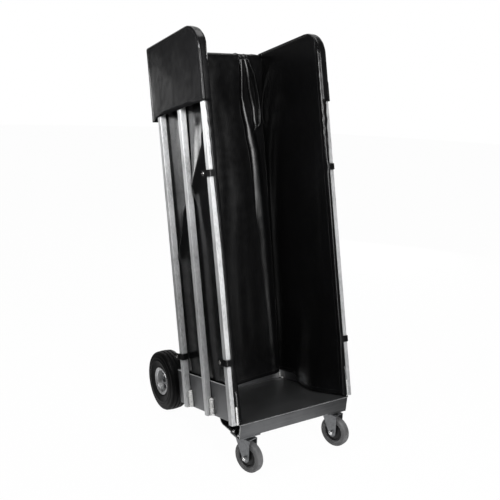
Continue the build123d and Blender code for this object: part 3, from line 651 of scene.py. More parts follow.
def back_folds(u, w, ridge_high):
    """The back panel and its right-hand corner, where the spare width stands up in a ridge and a tuck."""
    fold = 0.0
    settle = (0.3 + 0.7 * smooth(-w, -1485, -1330)) * (0.3 + 0.7 * smooth(w, 30, 330))
    for line, depth, width in BACK_FOLDS:
        fold += depth * settle * swell(u - follow(line, w), width)
    flat = half_width(w) - CORNER
    ridge, left, right = folded_edges(w, flat)
    ridge_face, left_face, right_face = fold_faces(w, flat)
    thin = smooth(w, 1240, 1320)
    rise = 0.16 + 0.08 * smooth(w, 450, 700) + 0.54 * smooth(w, 680, 1020) + 0.22 * smooth(w, 900, 1120)
    height = ridge_high * rise * (1 - 0.35 * thin)
    fold += height * lap(u - ridge, ridge_face, 26 - 17 * thin, smooth(w, 680, 1020))
    tucked = smooth(w, 1170, 1186)
    wide = right - left
    fold += tucked * 8 * lap(u - left, left_face, 4.5)
    fold += tucked * 7 * lap(u - right, right_face, 14) * smooth(wide, 2, 10)
    if left < u < right:
        a = (u - left) / wide
        fold -= tucked * 4 * a * (1 - a) * 6 * smooth(wide, 4, 26)
    return fold


def liner_columns():
    """Places along the liner from its left front edge round to its right one, as (section, share)."""
    hem = [0, 0.012, 0.026, 0.04, 0.046, 0.056]
    left, right = (hem + [0.075 + 0.925 * k / count for k in range(count + 1)] for count in (66, 44))
    corner = [k / 6 for k in range(1, 6)]
    back = {round(SOFT_END * k / 34, 4) for k in range(35)}
    back |= {round(SOFT_END + (1 - SOFT_END) * k / 30, 4) for k in range(31)}
    for edge in (ON_RIDGE, ON_LEFT, ON_RIGHT):
        back = {s for s in back if not -FACE <= s - edge <= 0.7 * FACE}
        for k in (-1, -0.97, -0.9, -0.78, -0.62, -0.44, -0.26, -0.1, 0, 0.18, 0.42, 0.7):
            back.add(round(edge + FACE * k, 4))
    runs = (
        ("left_lap", (1, 0.7, 0.35, 0)),
        ("left", left),
        ("left_corner", corner),
        ("back", sorted(back)),
        ("right_corner", corner),
        ("right", [1 - t for t in reversed(right)]),
        ("right_lap", (0, 0.35, 0.7, 1)),
    )
    return [(section, share) for section, shares in runs for share in shares]


def hang(section, share, w):
    """A point of the unfolded liner at a height, and its inward direction."""
    half, back = half_width(w), back_place(w)
    depth = back - CORNER - FRONT_EDGE - HEM_TURN
    flat = half - CORNER
    if section.endswith("lap"):
        name = section.split("_")[0]
        reach = WALL_U - half + follow(LAPS[name], w) * (1 - smooth(w, 1260, 1390))
        reach += (1.2 * math.sin(w / 9.0) + 0.9 * math.sin(w / 23.0 + 1)) * smooth(w, 900, 1150) * share
        out = half + HEM_TURN + (reach - HEM_TURN) * share
        return Vector((SIDES[name] * out, FRONT_EDGE, w)), Vector((0, -1, 0))
    if section in SIDES:
        side = SIDES[section]
        v = FRONT_EDGE + HEM_TURN + depth * (share if section == "left" else 1 - share)
        return Vector((side * half, v, w)), Vector((-side, 0, 0))
    if section == "back":
        return Vector((back_across(share, w, flat), back, w)), Vector((0, -1, 0))
    side = SIDES[section.split("_")[0]]
    angle = math.pi / 2 * (share if side < 0 else 1 - share)
    out = Vector((side * math.cos(angle), math.sin(angle), 0))
    return Vector((side * flat, back - CORNER, w)) + CORNER * out, -out


def along_back(point, section):
    """Distance from the middle of the back, measured round the corners."""
    flat = half_width(point.z) - CORNER
    if section == "back":
        return point.x
    side = -1 if section.startswith("left") else 1
    start = back_place(point.z) - CORNER
    if "corner" in section:
        return side * (flat + CORNER * math.atan2(abs(point.x) - flat, point.y - start))
    return side * (flat + CORNER * math.pi / 2 + start - point.y)


def hem_and_top(section, share):
    """Heights of the bottom and the top of a column."""
    if section.endswith("lap"):
        return LEFT_FOOT if section == "left_lap" else RIGHT_FOOT, side_top(FRONT_EDGE) - 20
    if section == "left":
        return LEFT_FOOT, side_top(FRONT_EDGE + share * PANEL_RUN)
    if section == "right":
        v = FRONT_EDGE + (1 - share) * PANEL_RUN
        return RIGHT_FOOT + 41 * smooth(v, 296, 345), side_top(v)
    if section == "back":
        return BACK_FOOT + 20 * smooth(share, 0.4, 1), BAR_W - 6
    return BACK_FOOT + 19 if section == "right_corner" else BACK_FOOT, BAR_W


def liner_point(section, share, rise, sizes):
    """A point of the hung liner, at a share of its width and of its height, and its inward direction."""
    foot, top = hem_and_top(section, share)
    hem = sizes.hem / MM
    w = foot + (top - foot) * rise
    point, inward = hang(section, share, w)
    beside = section in SIDES
    fold = 0.0
    if section == "left":
        fold = left_folds(point.y, w) + strap_pull(point.y, w)
    elif section == "right":
        fold = right_folds(point.y, w, sizes.belly / MM) + strap_pull(point.y, w)
    elif section.endswith("lap"):
        pucker = 0.9 * math.sin(w / 7.0) * smooth(w, 980, 1120) * (1 - share)
        return point + inward * (pucker + 0.5 * noise.noise(Vector((share, w / 40, 1.7)))), inward
    around = along_back(point, section)
    if not beside or point.y > ROUND_START:
        near = smooth(point.y, ROUND_START, ROUND_END) if beside else 1.0
        fold += near * back_folds(around, w, sizes.ridge / MM)
    spot = Vector((around / 120, w / 150, 0.3))
    fold += 0.9 * noise.noise(spot) + 0.4 * noise.noise(spot * 3.1)
    if beside:
        fold *= smooth(SIDE_TOP + 6 - w, 0, 60) * 0.9 + 0.1
        if point.y < FRONT_EDGE + hem:
            fold += FRONT_HEM
    if w < foot + hem:
        fold += FOOT_HEM
    if section == "back" and w > BAR_W - 40:
        fold = max(fold, 0.0)
    return point + inward * fold, inward


class ICECART_OT_liner(bpy.types.Operator):
    """Hang the black vinyl liner inside the posts and over the handle"""

    bl_idname = "icecart.liner"
    bl_label = "Liner"

    def execute(self, context):
        sizes = context.scene.ice_cart_sizes
        columns = liner_columns()
        bm = mapped_grid(
            len(columns) - 1,
            LINER_ROWS,
            lambda column, row: liner_point(*columns[column], row / LINER_ROWS, sizes)[0],
        )
        self.wrap_handle(bm)
        self.crease_folds(bm, columns)
        bmesh.ops.recalc_face_normals(bm, faces=bm.faces)
        liner = finish_mesh(bm, "liner", bpy.data.materials["black_vinyl"], DECK)
        thicken(liner, sizes.vinyl, 0)
        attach(liner, "frame")
        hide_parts("liner_left", "liner_back", "liner_right")
        self.stitch(columns, sizes)
        return {"FINISHED"}

    @staticmethod
    def under_handle(point):
        """Whether a point of the top edge is one that goes on over the handle."""
        return point.z > BAR_W - 9 and point.y > 400 and abs(point.x) < 258.2

    def wrap_handle(self, bm):
        """Carry the back on into a sleeve round the handle, sewn down behind it."""
        edges = [e for e in bm.edges if e.is_boundary and all(self.under_handle(v.co) for v in e.verts)]
        for angle, drop in SLEEVE:
            turn = math.radians(angle)
            made = bmesh.ops.extrude_edge_only(bm, edges=edges)["geom"]
            edges = [g for g in made if isinstance(g, bmesh.types.BMEdge)]
            for vert in (g for g in made if isinstance(g, bmesh.types.BMVert)):
                u = vert.co.x
                lump = sum(high * swell(u - place, wide) for high, place, wide in SLEEVE_LUMPS)
                lump += 0.7 * noise.noise(Vector((u / 30, angle / 40, drop / 20)))
                radius = BAR_R + SLEEVE_GAP + max(lump, -0.4)
                if abs(u) > SLEEVE_END:
                    vert.co.x = math.copysign(HOOD_INNER - 0.4, u)
                vert.co.y = BAR_V + radius * math.cos(turn) - SLEEVE_SWING * (drop / SLEEVE_DROP) ** 1.6
                vert.co.z = BAR_W + radius * math.sin(turn) - drop

    @staticmethod
    def crease_folds(bm, columns):
        """Mark the sharp feet of the ridge and of the tuck's edges, and the two rear corners."""
        feet = {round(edge - FACE, 4) for edge in (ON_RIDGE, ON_LEFT, ON_RIGHT)}
        marked = set()
        for number, (section, share) in enumerate(columns):
            if section.endswith("corner"):
                marked |= {number - 1, number, number + 1}
            elif section == "back" and share in feet:
                marked.add(number)
        across = len(columns)
        for edge in bm.edges:
            a, b = (vert.index for vert in edge.verts)
            if a < across * (LINER_ROWS + 1) > b and a % across in marked and a % across == b % across:
                edge.smooth = False

    @staticmethod
    def stitch(columns, sizes):
        """Sew the hems along the foot and up the two front edges, on both faces."""
        bm = bmesh.new()
        foot = []
        for section, share in columns[6:-6]:
            low, top = hem_and_top(section, share)
            foot.append(liner_point(section, share, (sizes.hem / MM - SEAM_IN) / (top - low), sizes))
        rows = [foot]
        for section, share in (columns[7], columns[-8]):
            rows.append([liner_point(section, share, k / 90, sizes) for k in range(2, 83)])
        for row in rows:
            for face in (1, -1):
                points = [point + inward * face * (sizes.vinyl / MM / 2 + 0.2) for point, inward in row]
                sew(bm, points, [inward * face for _, inward in row], sizes.stitch / MM)
        stitches = finish_mesh(bm, "liner_stitches", bpy.data.materials["sewing_thread"], DECK)
        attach(stitches, "frame")


# Hoods
HOOD_REAR, HOOD_BOTTOM = 461.0, 1220.0
HOOD_DEPTH, HOOD_DROP = HOOD_REAR - HOOD_FRONT, HOOD_TOP - HOOD_BOTTOM
HOOD_OUTER, HOOD_INNER = 292.6, 260.3
REAR_CORNER = 5.0
REAR_DROP = 13.0  # the rear of a hood hangs this much lower
GUSSET_ROWS, PANEL_ROWS = 15, 26
CORNER_COLUMN = 28  # the column of a hood's grid that runs down from the middle of its front corner
HOOD_SEAM_IN = 7  # how far inside a hood's seam its row of stitches runs


def arc_points(centre_v, centre_w, radius, start, end, steps):
    """Points of an arc in a hood's side view, with their outward directions."""
    for k in range(steps + 1):
        turn = math.radians(start + (end - start) * k / steps)
        out = (math.cos(turn), math.sin(turn))
        yield (centre_v + radius * out[0], centre_w + radius * out[1]), out


def hood_path():
    """Points round a hood's side view from its front foot to its rear foot, with outward directions."""
    top, corner, rear = HOOD_TOP, HOOD_CORNER, REAR_CORNER
    front_run = top - corner - HOOD_BOTTOM
    top_run = HOOD_REAR - rear - HOOD_FRONT - corner
    rear_run = top - rear - HOOD_BOTTOM + REAR_DROP
    points = [((HOOD_FRONT, HOOD_BOTTOM + front_run * k / 20), (-1, 0)) for k in range(20)]
    points += arc_points(HOOD_FRONT + corner, top - corner, corner, 180, 90, 16)
    points += [((HOOD_FRONT + corner + top_run * k / 36, top), (0, 1)) for k in range(1, 36)]
    points += arc_points(HOOD_REAR - rear, top - rear, rear, 90, 0, 5)
    points += [((HOOD_REAR, top - rear - rear_run * k / 28), (1, 0)) for k in range(1, 29)]
    return points


def hood_point(side, path, column, row):
    """A point of a hood: its rounded front and top first, from the inner edge, then its outer panel."""
    (v, w), (out_v, out_w) = path[column]
    share = column / (len(path) - 1)
    bend = swell(column - CORNER_COLUMN, 9)
    if row < GUSSET_ROWS:
        across = 1 - row / (GUSSET_ROWS - 1)
        inset = 0.3 + (HOOD_OUTER - HOOD_INNER - 0.3) * across
        front = max(-out_v, 0)
        proud = (4.8 - 1.6 * front) * (4 * across * (1 - across)) ** (0.32 - 0.14 * front) - 0.9
        proud += (0.9 + 0.3 * front) * swell(inset - 2.6 - 1.6 * front, 1.3 + 1.6 * front)
        middle = swell(inset - 17, 14)
        proud += 0.2 * noise.noise(Vector((share * 20, inset / 15, side * 2.0))) * middle
        proud += 1.1 * bend * math.sin(column * 2.1) * middle
        return Vector((side * (HOOD_OUTER - inset), v + out_v * proud, w + out_w * proud))
    reach = ((row - GUSSET_ROWS + 1) / PANEL_ROWS) ** 1.5
    foot_v = HOOD_FRONT + HOOD_DEPTH * share
    foot_w = HOOD_BOTTOM - REAR_DROP * smooth(foot_v, 424, HOOD_REAR)
    v, w = v + (foot_v - v) * reach, w + (foot_w - w) * reach
    a = (v - HOOD_FRONT) / HOOD_DEPTH
    b = (w - HOOD_BOTTOM) / HOOD_DROP
    edge = min(min(a, 1 - a) * HOOD_DEPTH, (1 - b) * HOOD_DROP)
    out = 2.2 * math.sin(math.pi * min(max(a, 0), 1)) * (0.4 + 0.6 * b) * smooth(edge, 0, 60)
    out += 0.9 * noise.noise(Vector((v / 95, w / 95, side * 5.0))) * smooth(edge, 2, 40)
    out += 1.3 * bend * math.sin(column * 1.9) * swell(edge - 12, 10)
    out -= swell(edge - 5, 4) * smooth(reach, 0, 0.02)
    return Vector((side * (HOOD_OUTER + out), v, w))


class ICECART_OT_hoods(bpy.types.Operator):
    """Sew the two vinyl hoods that slip over the tops of the side frames"""

    bl_idname = "icecart.hoods"
    bl_label = "Hoods"

    def execute(self, context):
        sizes = context.scene.ice_cart_sizes
        path = hood_path()
        for side_name, side in SIDES.items():
            bm = mapped_grid(
                len(path) - 1,
                GUSSET_ROWS + PANEL_ROWS - 1,
                lambda column, row, side=side: hood_point(side, path, column, row),
            )
            bmesh.ops.remove_doubles(bm, verts=bm.verts, dist=0.02)
            bmesh.ops.dissolve_degenerate(bm, edges=bm.edges, dist=0.01)
            bmesh.ops.recalc_face_normals(bm, faces=bm.faces)
            outermost = max(bm.faces, key=lambda face: side * face.calc_center_median().x)
            if outermost.normal.x * side < 0:
                bmesh.ops.reverse_faces(bm, faces=bm.faces)
            hood = finish_mesh(bm, f"hood_{side_name}", bpy.data.materials["black_vinyl"], DECK)
            thicken(hood, sizes.vinyl, -1)
            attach(hood, "frame")
            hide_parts(f"{side_name}_hood")
            self.stitch(side_name, side, path, sizes)
        return {"FINISHED"}

    @staticmethod
    def stitch(side_name, side, path, sizes):
        """A row of stitches beside the seam, and one along the hem."""
        bm = bmesh.new()
        pitch = sizes.stitch / MM
        out = Vector((side, 0, 0))
        seam = [
            Vector((side * (HOOD_OUTER + 0.2), v - HOOD_SEAM_IN * out_v, w - HOOD_SEAM_IN * out_w))
            for (v, w), (out_v, out_w) in path[1:-1]
        ]
        sew(bm, seam, [out] * len(seam), pitch)
        height = HOOD_BOTTOM + sizes.hem / MM - SEAM_IN
        hem = [Vector((side * (HOOD_OUTER + 1.4), v, height)) for v in (HOOD_FRONT + 8, HOOD_REAR - 8)]
        sew(bm, hem, [out], pitch)
        stitches = finish_mesh(bm, f"hood_{side_name}_stitches", bpy.data.materials["sewing_thread"], DECK)
        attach(stitches, "frame")


# Straps
STRAP_THICK = 2.2
STRAP_TAB = 30.0
STRAP_HALF = TUBE / 2 + 0.7 + STRAP_THICK / 2  # from a post's middle to the middle of its strap
OVER_HEM = 2.0  # room for the liner's hem between a strap and the front of its post
SNAP_PROFILE = ((0, 3.4), (2.6, 3.3), (3.1, 2.9), (3.8, 3.0), (5.4, 2.6), (6.5, 1.7), (7.0, 0.6), (6.9, 0))


def strap_band(side, v, height, tall):
    """A strap round a post: both ends lie on each other in a tab behind the post."""
    before, behind = v - STRAP_HALF - OVER_HEM, v + STRAP_HALF
    out, inn = side * (POST_U + STRAP_HALF), side * (POST_U - STRAP_HALF)
    over = out + side * STRAP_THICK
    end = behind + STRAP_TAB
    outline = (
        (over, end), (over, behind), (out, behind - 9), (out, before),
        (inn, before), (inn, behind), (out, behind), (out, end - 0.5),
    )
    bm = bmesh.new()
    verts = [bm.verts.new((x, y, height - tall / 2)) for x, y in outline]
    for pair in zip(verts, verts[1:]):
        bm.edges.new(pair)
    bmesh.ops.bevel(
        bm,
        geom=verts[2:7],
        offset=3.0,
        offset_type="OFFSET",
        affect="VERTICES",
        segments=4,
        profile=0.5,
        material=-1,
    )
    raised = bmesh.ops.extrude_edge_only(bm, edges=bm.edges)["geom"]
    lifted = [g for g in raised if isinstance(g, bmesh.types.BMVert)]
    bmesh.ops.translate(bm, verts=lifted, vec=(0, 0, tall))
    return bm


def snap_cap(side, v, height):
    """The domed cap of a press snap on a strap's tab."""
    bm = spun([(0, r, h) for r, h in SNAP_PROFILE], False, (0, 0, 1), 24)
    face = side * (POST_U + STRAP_HALF + STRAP_THICK * 1.5 + 0.1)
    place = Matrix.Translation((face, v + STRAP_HALF + STRAP_TAB / 2, height))
    bmesh.ops.transform(bm, matrix=place @ Matrix.Rotation(side * math.pi / 2, 4, "Y"), verts=bm.verts)
    return bm


class ICECART_OT_straps(bpy.types.Operator):
    """Wrap the straps round the posts and close them with press snaps"""

    bl_idname = "icecart.straps"
    bl_label = "Straps"

    def execute(self, context):
        tall = context.scene.ice_cart_sizes.strap / MM
        bands, caps = bmesh.new(), bmesh.new()
        for side in SIDES.values():
            for post, heights in STRAP_W.items():
                for height in heights:
                    gather(bands, strap_band(side, POST_V[post], height, tall))
                    gather(caps, snap_cap(side, POST_V[post], height))
        bmesh.ops.recalc_face_normals(bands, faces=bands.faces)
        straps = finish_mesh(bands, "straps", bpy.data.materials["black_vinyl"], DECK, shade=False)
        thicken(straps, STRAP_THICK * MM, 0)
        edge = straps.modifiers.new("soft_edges", "BEVEL")
        edge.width, edge.segments = 0.5 * MM, 2
        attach(straps, "frame")
        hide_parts("liner_straps")
        bmesh.ops.recalc_face_normals(caps, faces=caps.faces)
        snaps = finish_mesh(caps, "snap_caps", bpy.data.materials["nickel_plate"], DECK)
        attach(snaps, "frame")
        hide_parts("strap_snaps")
        return {"FINISHED"}


# Welds
POST_BEAD, FRONT_BEAD = (11.0, 4.2), (4.4, 1.8)  # radius, and how far a bead's middle is off the edge
POST_BEAD_LENGTH = 70.0
# beads in a rear corner: radius, length, how far in, ahead and up from the corner, phase of the ripples
CORNER_BEADS = ((5.4, 96.0, 1.5, 1.5, 3.0, 7.0), (7.0, 8.0, 3.0, 22.0, 2.6, 3.0))
POST_SINK, CORNER_SINK = 0.6, 0.4  # how far a bead goes into its wall


def weld_bead(foot, radius, length, ripple, phase, limit):
    """A rippled bead that stands on a foot; limit keeps its points on one side of the sheet."""
    around, rows = 18, max(24, round(length * 1.25))

    def place(column, row):
        turn = math.tau * column / around
        if row in (0, rows):
            return limit(foot + Vector((0, 0, length if row else 0)))
        w = length * (row - 1) / (rows - 2)
        step = (w + 1.2 * math.cos(2 * turn) + phase) / ripple
        wave = abs(math.sin(math.pi * step)) ** 0.7
        wander = noise.noise(Vector((w / 9, math.sin(turn), phase)))
        end = min(1.0, 0.55 + 0.45 * math.sqrt(min(w, length - w) / 4))
        r = radius * end * (0.68 + 0.32 * wave + 0.16 * wander)
        return limit(foot + Vector((r * math.cos(turn), r * math.sin(turn), w)))

    bead = mapped_grid(around, rows, place)
    bmesh.ops.remove_doubles(bead, verts=bead.verts, dist=0.001)
    return bead


class ICECART_OT_welds(bpy.types.Operator):
    """Lay the rippled weld beads up the edges of the posts and in the rear corners of the tray"""

    bl_idname = "icecart.welds"
    bl_label = "Welds"

    def execute(self, context):
        ripple = context.scene.ice_cart_sizes.bead / MM
        bm = bmesh.new()
        for side in SIDES.values():

            def outside(point, side=side):
                return Vector((side * max(side * point.x, WALL_U - POST_SINK), point.y, point.z))

            def inside(point, side=side):
                across = side * min(side * point.x, CORNER_U + CORNER_SINK)
                return Vector((across, min(point.y, CORNER_V + CORNER_SINK), point.z))

            for post, v in POST_V.items():
                for direction in (-1, 1):
                    radius, lead = FRONT_BEAD if post == "front" and direction < 0 else POST_BEAD
                    foot = Vector((side * (WALL_U + lead), v + direction * (TUBE / 2 + lead), 0))
                    phase = 3.7 * v + 11 * direction + 5 * side
                    gather(bm, weld_bead(foot, radius, POST_BEAD_LENGTH, ripple, phase, outside))
            for radius, length, inn, ahead, up, phase in CORNER_BEADS:
                foot = Vector((side * (CORNER_U - inn), CORNER_V - ahead, up))
                gather(bm, weld_bead(foot, radius, length, ripple, phase * side, inside))
        bmesh.ops.recalc_face_normals(bm, faces=bm.faces)
        beads = finish_mesh(bm, "weld_beads", bpy.data.materials["weld_bead"], DECK)
        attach(beads, "frame")
        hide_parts("post_welds")
        return {"FINISHED"}


class ICECART_OT_metalwork(bpy.types.Operator):
    """Finish the tray, the posts, the axle and the brackets"""

    bl_idname = "icecart.metalwork"
    bl_label = "Metalwork"

    def execute(self, context):
        colours = context.scene.ice_cart_colours
        tube = drawn_metal_finish(
            "drawn_tube", colours.post, colours.bare_and_highlight, (230, 230, 4), 0.45, 0.6, 0.55, 1.6 * MM
        )
        rolled = (colours.sheet, colours.bare_and_highlight, (6, 380, 380), 0.28, 0.42, 0.8, 2.6 * MM)
        # the tray's sheet gets painted highlights beside its corner beads and along its top edge
        sheet = drawn_metal_finish("rolled_sheet", *rolled, painted_corner_and_rim_highlights)
        plate = drawn_metal_finish("rolled_plate", *rolled)
        zinc = plated_finish("zinc_plate", colours.zinc)
        posts = [f"{side}_{post}_post" for side in SIDES for post in POST_V]
        dress(tube, "top_crossbar", *posts)
        dress(sheet, "tray")
        dress(plate, "caster_channel", "left_axle_bracket", "right_axle_bracket")
        dress(zinc, "axle", "axle_washers", "cotter_pins", "bracket_bolts")
        return {"FINISHED"}


# Rear tyres: half of the section from the bead to the tread's middle, as (out from the middle, radius)
TYRE_SKIN = (
    (24.5, 53.5), (31.0, 53.5), (31.5, 62.5), (32.6, 65.5), (35.0, 66.6), (36.4, 68.6), (36.6, 71.0),
    (38.6, 77.0), (40.6, 84.0), (41.6, 90.0), (42.7, 91.2), (43.0, 92.6), (42.7, 94.0), (41.9, 95.2),
    (41.8, 100.0), (41.4, 103.4), (42.0, 104.4), (42.0, 105.6), (41.1, 106.6), (40.2, 111.0),
    (38.6, 116.2), (38.9, 117.6), (38.9, 123.0), (37.6, 126.4), (35.4, 128.6), (34.2, 127.4),
    (33.0, 127.6), (32.2, 130.2), (29.8, 131.6), (26.0, 132.2), (22.0, 132.7), (19.2, 132.9),
    (18.5, 132.3), (18.0, 129.4), (14.0, 129.6), (13.5, 132.8), (12.8, 133.4), (8.0, 133.8),
    (3.2, 134.0), (2.5, 133.4), (2.0, 130.4),
)
TYRE_INSIDE = (
    (25.5, 62.5), (33.0, 80.0), (36.0, 94.0), (33.2, 110.0), (27.0, 120.0), (13.8, 124.4), (0.0, 125.5),
)
TYRE_STEPS = 112
TYRE_SHARP = 0.6  # edges of the tyre that turn by more, in radians, stay sharp


def spun_tyre(centre):
    """A hollow tyre, spun round the axle."""
    outside = [*TYRE_SKIN, *((-x, r) for x, r in reversed(TYRE_SKIN))]
    inside = [*((-x, r) for x, r in TYRE_INSIDE), *reversed(TYRE_INSIDE[:-1])]
    bm = spun([(x, 0, r) for x, r in outside + inside], True, (1, 0, 0), TYRE_STEPS)
    bmesh.ops.recalc_face_normals(bm, faces=bm.faces)
    for edge in bm.edges:
        edge.smooth = edge.calc_face_angle() < TYRE_SHARP
    bmesh.ops.transform(bm, matrix=Matrix.Translation(centre) @ Matrix.Scale(MM, 4), verts=bm.verts)
    return bm


class ICECART_OT_rear_wheels(bpy.types.Operator):
    """Finish the rear wheels and mould their tyres"""

    bl_idname = "icecart.rear_wheels"
    bl_label = "Rear wheels"

    def execute(self, context):
        colours = context.scene.ice_cart_colours
        rubber = rubber_finish("tyre_rubber", colours.tyre, 0.42, 0.6, 1.8, 0.1)
        rim = plated_finish("rim_plate", colours.rim, 0.42, 0.55)
        zinc = bpy.data.materials["zinc_plate"]
        for side in SIDES:
            low, high = (Vector(corner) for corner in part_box(f"{side}_tyre"))
            tyre = finish_mesh(spun_tyre((low + high) / 2), f"tyre_{side}", rubber)
            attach(tyre, f"{side}_wheel")
            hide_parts(f"{side}_tyre")
            dress(rubber, f"{side}_inner_tube", f"{side}_valve_stem")
            dress(rim, f"{side}_rim_outer", f"{side}_rim_inner")
            dress(zinc, f"{side}_hub", f"{side}_bearings", f"{side}_rim_bolts")
        return {"FINISHED"}


class ICECART_OT_casters(bpy.types.Operator):
    """Finish the front casters"""

    bl_idname = "icecart.casters"
    bl_label = "Casters"

    def execute(self, context):
        colours = context.scene.ice_cart_colours
        rubber = rubber_finish("caster_rubber", colours.caster, 0.45, 0.65, 1.4)
        core = rubber_finish("caster_core", colours.core, 0.35, 0.5, 1.6)
        zinc = bpy.data.materials["zinc_plate"]
        bright = plated_finish("bright_plate", colours.nut, 0.16, 0.28)
        dress(bright, "caster_plate_bolts")
        for side in SIDES:
            dress(rubber, f"{side}_caster_tyre")
            dress(core, f"{side}_caster_core")
            dress(bright, f"{side}_caster_axle", f"{side}_caster_nut")
            for part in ("plate", "fork", "sleeve"):
                dress(zinc, f"{side}_caster_{part}")
            dress(zinc, f"{side}_kingpin", f"{side}_swivel_race")
        return {"FINISHED"}


class ICECART_OT_finishes(bpy.types.Operator):
    """Make the finishes that several pieces share"""

    bl_idname = "icecart.finishes"
    bl_label = "Shared finishes"

    def execute(self, context):
        colours = context.scene.ice_cart_colours
        vinyl_finish(colours.vinyl)
        thread_finish(colours.thread)
        weld_finish(colours.weld)
        plated_finish("nickel_plate", colours.snap, 0.2, 0.32)
        return {"FINISHED"}


# Stage
CAMERA_PLACE = (-1.5694, -2.4426, 1.5455)
CAMERA_YAW, CAMERA_PITCH, CAMERA_ROLL = 0.5683, -0.2572, 0.0404
CAMERA_LENS, SENSOR = 51.58, 36.0
FLOOR_RADIUS = 14
# the white sweep widens from a point on the floor before the cart
SWEEP_START = (-1.57, -2.44, 0)
SWEEP_HEADING = (math.sin(CAMERA_YAW), math.cos(CAMERA_YAW), 0)
ASIDE = 0.06  # brightness of the room beside and before the sweep, as metal and vinyl mirror it
FLOOR_ASIDE = 0.03  # brightness of the floor there, mirrored likewise
FLOOR_WHITE = 0.98  # share of the floor's colour that shows white; the rest keeps the shadow
ROOM_LIGHT = 0.08  # brightness of the room as a light
# lamps: name, place, target, size in metres, watts, and the cone of the light in degrees
LAMPS = (
    ("key_lamp", (0.08, -4.0, 2.6), (0, 0, 0.85), 2.0, 108, 180),
    ("fill_lamp", (-0.76, -0.22, 1.62), (-0.28, 0.02, 1.15), 0.42, 12, 180),
    ("front_lamp", (-0.16, -1.75, 0.7), (-0.2, -0.3, 0.5), 0.4, 5, 180),
    ("left_lamp", (-1.1, 4.0, 0.7), (-0.27, 0, 0.94), 1.3, 0.26, 14),
    ("top_lamp", (0.3, 0.4, 4.2), (0, 0, 0.85), 2.4, 40, 180),
    ("rear_lamp", (2.6, 2.4, 1.0), (0.1, 0.2, 0.8), 1.8, 45, 180),
)


def area_lamp(name, place, target, size, watts, cone):
    """A soft square lamp that looks at a point, its light kept within a cone."""
    lamp = bpy.data.lights.new(name, "AREA")
    lamp.shape, lamp.size, lamp.energy = "SQUARE", size, watts
    lamp.spread = math.radians(cone)
    made = bpy.data.objects.new(name, lamp)
    made.location = place
    made.rotation_euler = (Vector(target) - Vector(place)).to_track_quat("-Z", "Y").to_euler()
    made.visible_camera = False
    bpy.context.scene.collection.objects.link(made)


def white_sweep(tree, direction, low, high):
    """1 in the white sweep behind the cart, fading to 0 at its sides."""
    heading = vectors(tree, "DOT_PRODUCT", direction, SWEEP_HEADING)
    sockets = {"Value": heading, "From Min": low, "From Max": high}
    return put(tree, "ShaderNodeMapRange", sockets, interpolation_type="SMOOTHSTEP").outputs["Result"]


def shown_white(tree, sweep, aside):
    """The rays that show the background, straight and mirrored, and its strength: dim where sides mirror."""
    paths = put(tree, "ShaderNodeLightPath").outputs
    straight = numbers(tree, "MAXIMUM", paths["Is Camera Ray"], paths["Is Transmission Ray"])
    mirrored = paths["Is Glossy Ray"]
    dimmed = spread(tree, sweep, aside, 1.0, 0.0, 1.0)
    return straight, mirrored, between(tree, mirrored, 1.0, dimmed)


def floor_finish(pale, dim):
    """A pale floor that shows white and keeps a faint shadow."""
    material, tree, shader = begin("studio_floor")
    heading = vectors(tree, "NORMALIZE", coords(tree, place=SWEEP_START))
    join(
        tree,
        shader,
        Base_Color=mixed(tree, white_sweep(tree, heading, 0.66, 0.88), (*dim, 1), (*pale, 1)),
        Roughness=0.9,
        Specular_IOR_Level=0.0,
    )
    straight, mirrored, strength = shown_white(tree, white_sweep(tree, heading, 0.965, 0.985), FLOOR_ASIDE)
    share = numbers(tree, "MAXIMUM", numbers(tree, "MULTIPLY", straight, FLOOR_WHITE), mirrored)
    white = put(tree, "ShaderNodeEmission", {"Color": (1, 1, 1, 1), "Strength": strength}).outputs[0]
    shown = put(tree, "ShaderNodeMixShader", {0: share, 1: shader.outputs[0], 2: white}).outputs[0]
    feed(tree, tree.nodes["Material Output"].inputs["Surface"], shown)
    return material


def studio_world(scene):
    """Plain soft light from all round, and a white background."""
    world = bpy.data.worlds.new("studio")
    scene.world = world
    world.use_nodes = True
    tree = world.node_tree
    sweep = white_sweep(tree, put(tree, "ShaderNodeTexCoord").outputs["Generated"], 0.68, 0.8)
    straight, mirrored, shown = shown_white(tree, sweep, ASIDE)
    seen = numbers(tree, "MAXIMUM", straight, mirrored)
    back = tree.nodes["Background"].inputs
    feed(tree, back["Color"], (1, 1, 1, 1))
    feed(tree, back["Strength"], between(tree, seen, ROOM_LIGHT, shown))


def studio_camera(scene):
    """The camera at the place and turn from which the cart was seen."""
    camera = bpy.data.cameras.new("camera")
    camera.lens, camera.sensor_width = CAMERA_LENS, SENSOR
    made = bpy.data.objects.new("camera", camera)
    yaw, pitch, roll = CAMERA_YAW, CAMERA_PITCH, CAMERA_ROLL
    ahead = Vector((math.sin(yaw) * math.cos(pitch), math.cos(yaw) * math.cos(pitch), math.sin(pitch)))
    level = Vector((math.cos(yaw), -math.sin(yaw), 0))
    above = level.cross(ahead)
    right = math.cos(roll) * level + math.sin(roll) * above
    up = -math.sin(roll) * level + math.cos(roll) * above
    turn = Matrix((right, up, -ahead)).transposed().to_4x4()
    made.matrix_world = Matrix.Translation(CAMERA_PLACE) @ turn
    scene.collection.objects.link(made)
    scene.camera = made


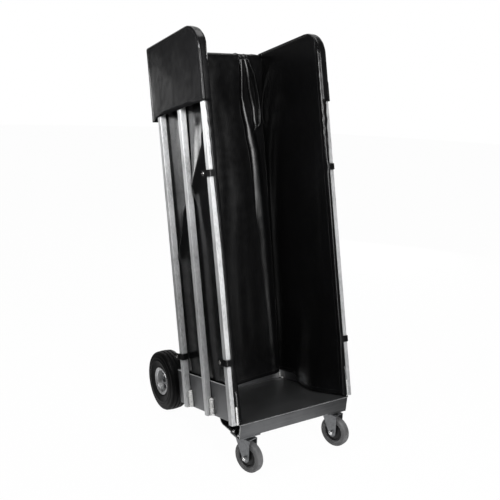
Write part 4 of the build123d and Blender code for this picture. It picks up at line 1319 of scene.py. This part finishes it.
class ICECART_OT_stage(bpy.types.Operator):
    """Set the floor, the soft light and the camera"""

    bl_idname = "icecart.stage"
    bl_label = "Stage"

    def execute(self, context):
        scene = context.scene
        scene.view_settings.view_transform = "Standard"
        colours = scene.ice_cart_colours
        bm = bmesh.new()
        bmesh.ops.create_circle(bm, cap_ends=True, segments=96, radius=FLOOR_RADIUS)
        finish = floor_finish(colours.floor, colours.dim_floor)
        floor = finish_mesh(bm, "studio_floor", finish, shade=False)
        studio_world(scene)
        for lamp in LAMPS:
            area_lamp(*lamp)
        studio_camera(scene)
        return {"FINISHED"}


class ICECART_PT_panel(bpy.types.Panel):
    """Lists the pieces of the ice cart"""

    bl_idname = "ICECART_PT_panel"
    bl_label = "Ice Cart"
    bl_space_type = "VIEW_3D"
    bl_region_type = "UI"
    bl_category = "Ice Cart"

    def draw(self, context):
        layout = self.layout
        for holder in (context.scene.ice_cart_sizes, context.scene.ice_cart_colours):
            for name in holder.__annotations__:
                layout.prop(holder, name)
        for operator in OPERATORS:
            layout.operator(operator.bl_idname)


OPERATORS = (
    ICECART_OT_stage,
    ICECART_OT_finishes,
    ICECART_OT_metalwork,
    ICECART_OT_welds,
    ICECART_OT_hoods,
    ICECART_OT_liner,
    ICECART_OT_straps,
    ICECART_OT_rear_wheels,
    ICECART_OT_casters,
)
CLASSES = (IceCartSizes, IceCartColours, *OPERATORS, ICECART_PT_panel)


def register():
    for made in CLASSES:
        bpy.utils.register_class(made)
    bpy.types.Scene.ice_cart_sizes = PointerProperty(type=IceCartSizes)
    bpy.types.Scene.ice_cart_colours = PointerProperty(type=IceCartColours)


def unregister():
    del bpy.types.Scene.ice_cart_colours
    del bpy.types.Scene.ice_cart_sizes
    for made in reversed(CLASSES):
        bpy.utils.unregister_class(made)


def main():
    register()
    bpy.ops.icecart.stage()
    bpy.ops.icecart.finishes()
    bpy.ops.icecart.metalwork()
    bpy.ops.icecart.welds()
    bpy.ops.icecart.hoods()
    bpy.ops.icecart.liner()
    bpy.ops.icecart.straps()
    bpy.ops.icecart.rear_wheels()
    bpy.ops.icecart.casters()


if __name__ == "__main__":
    main()
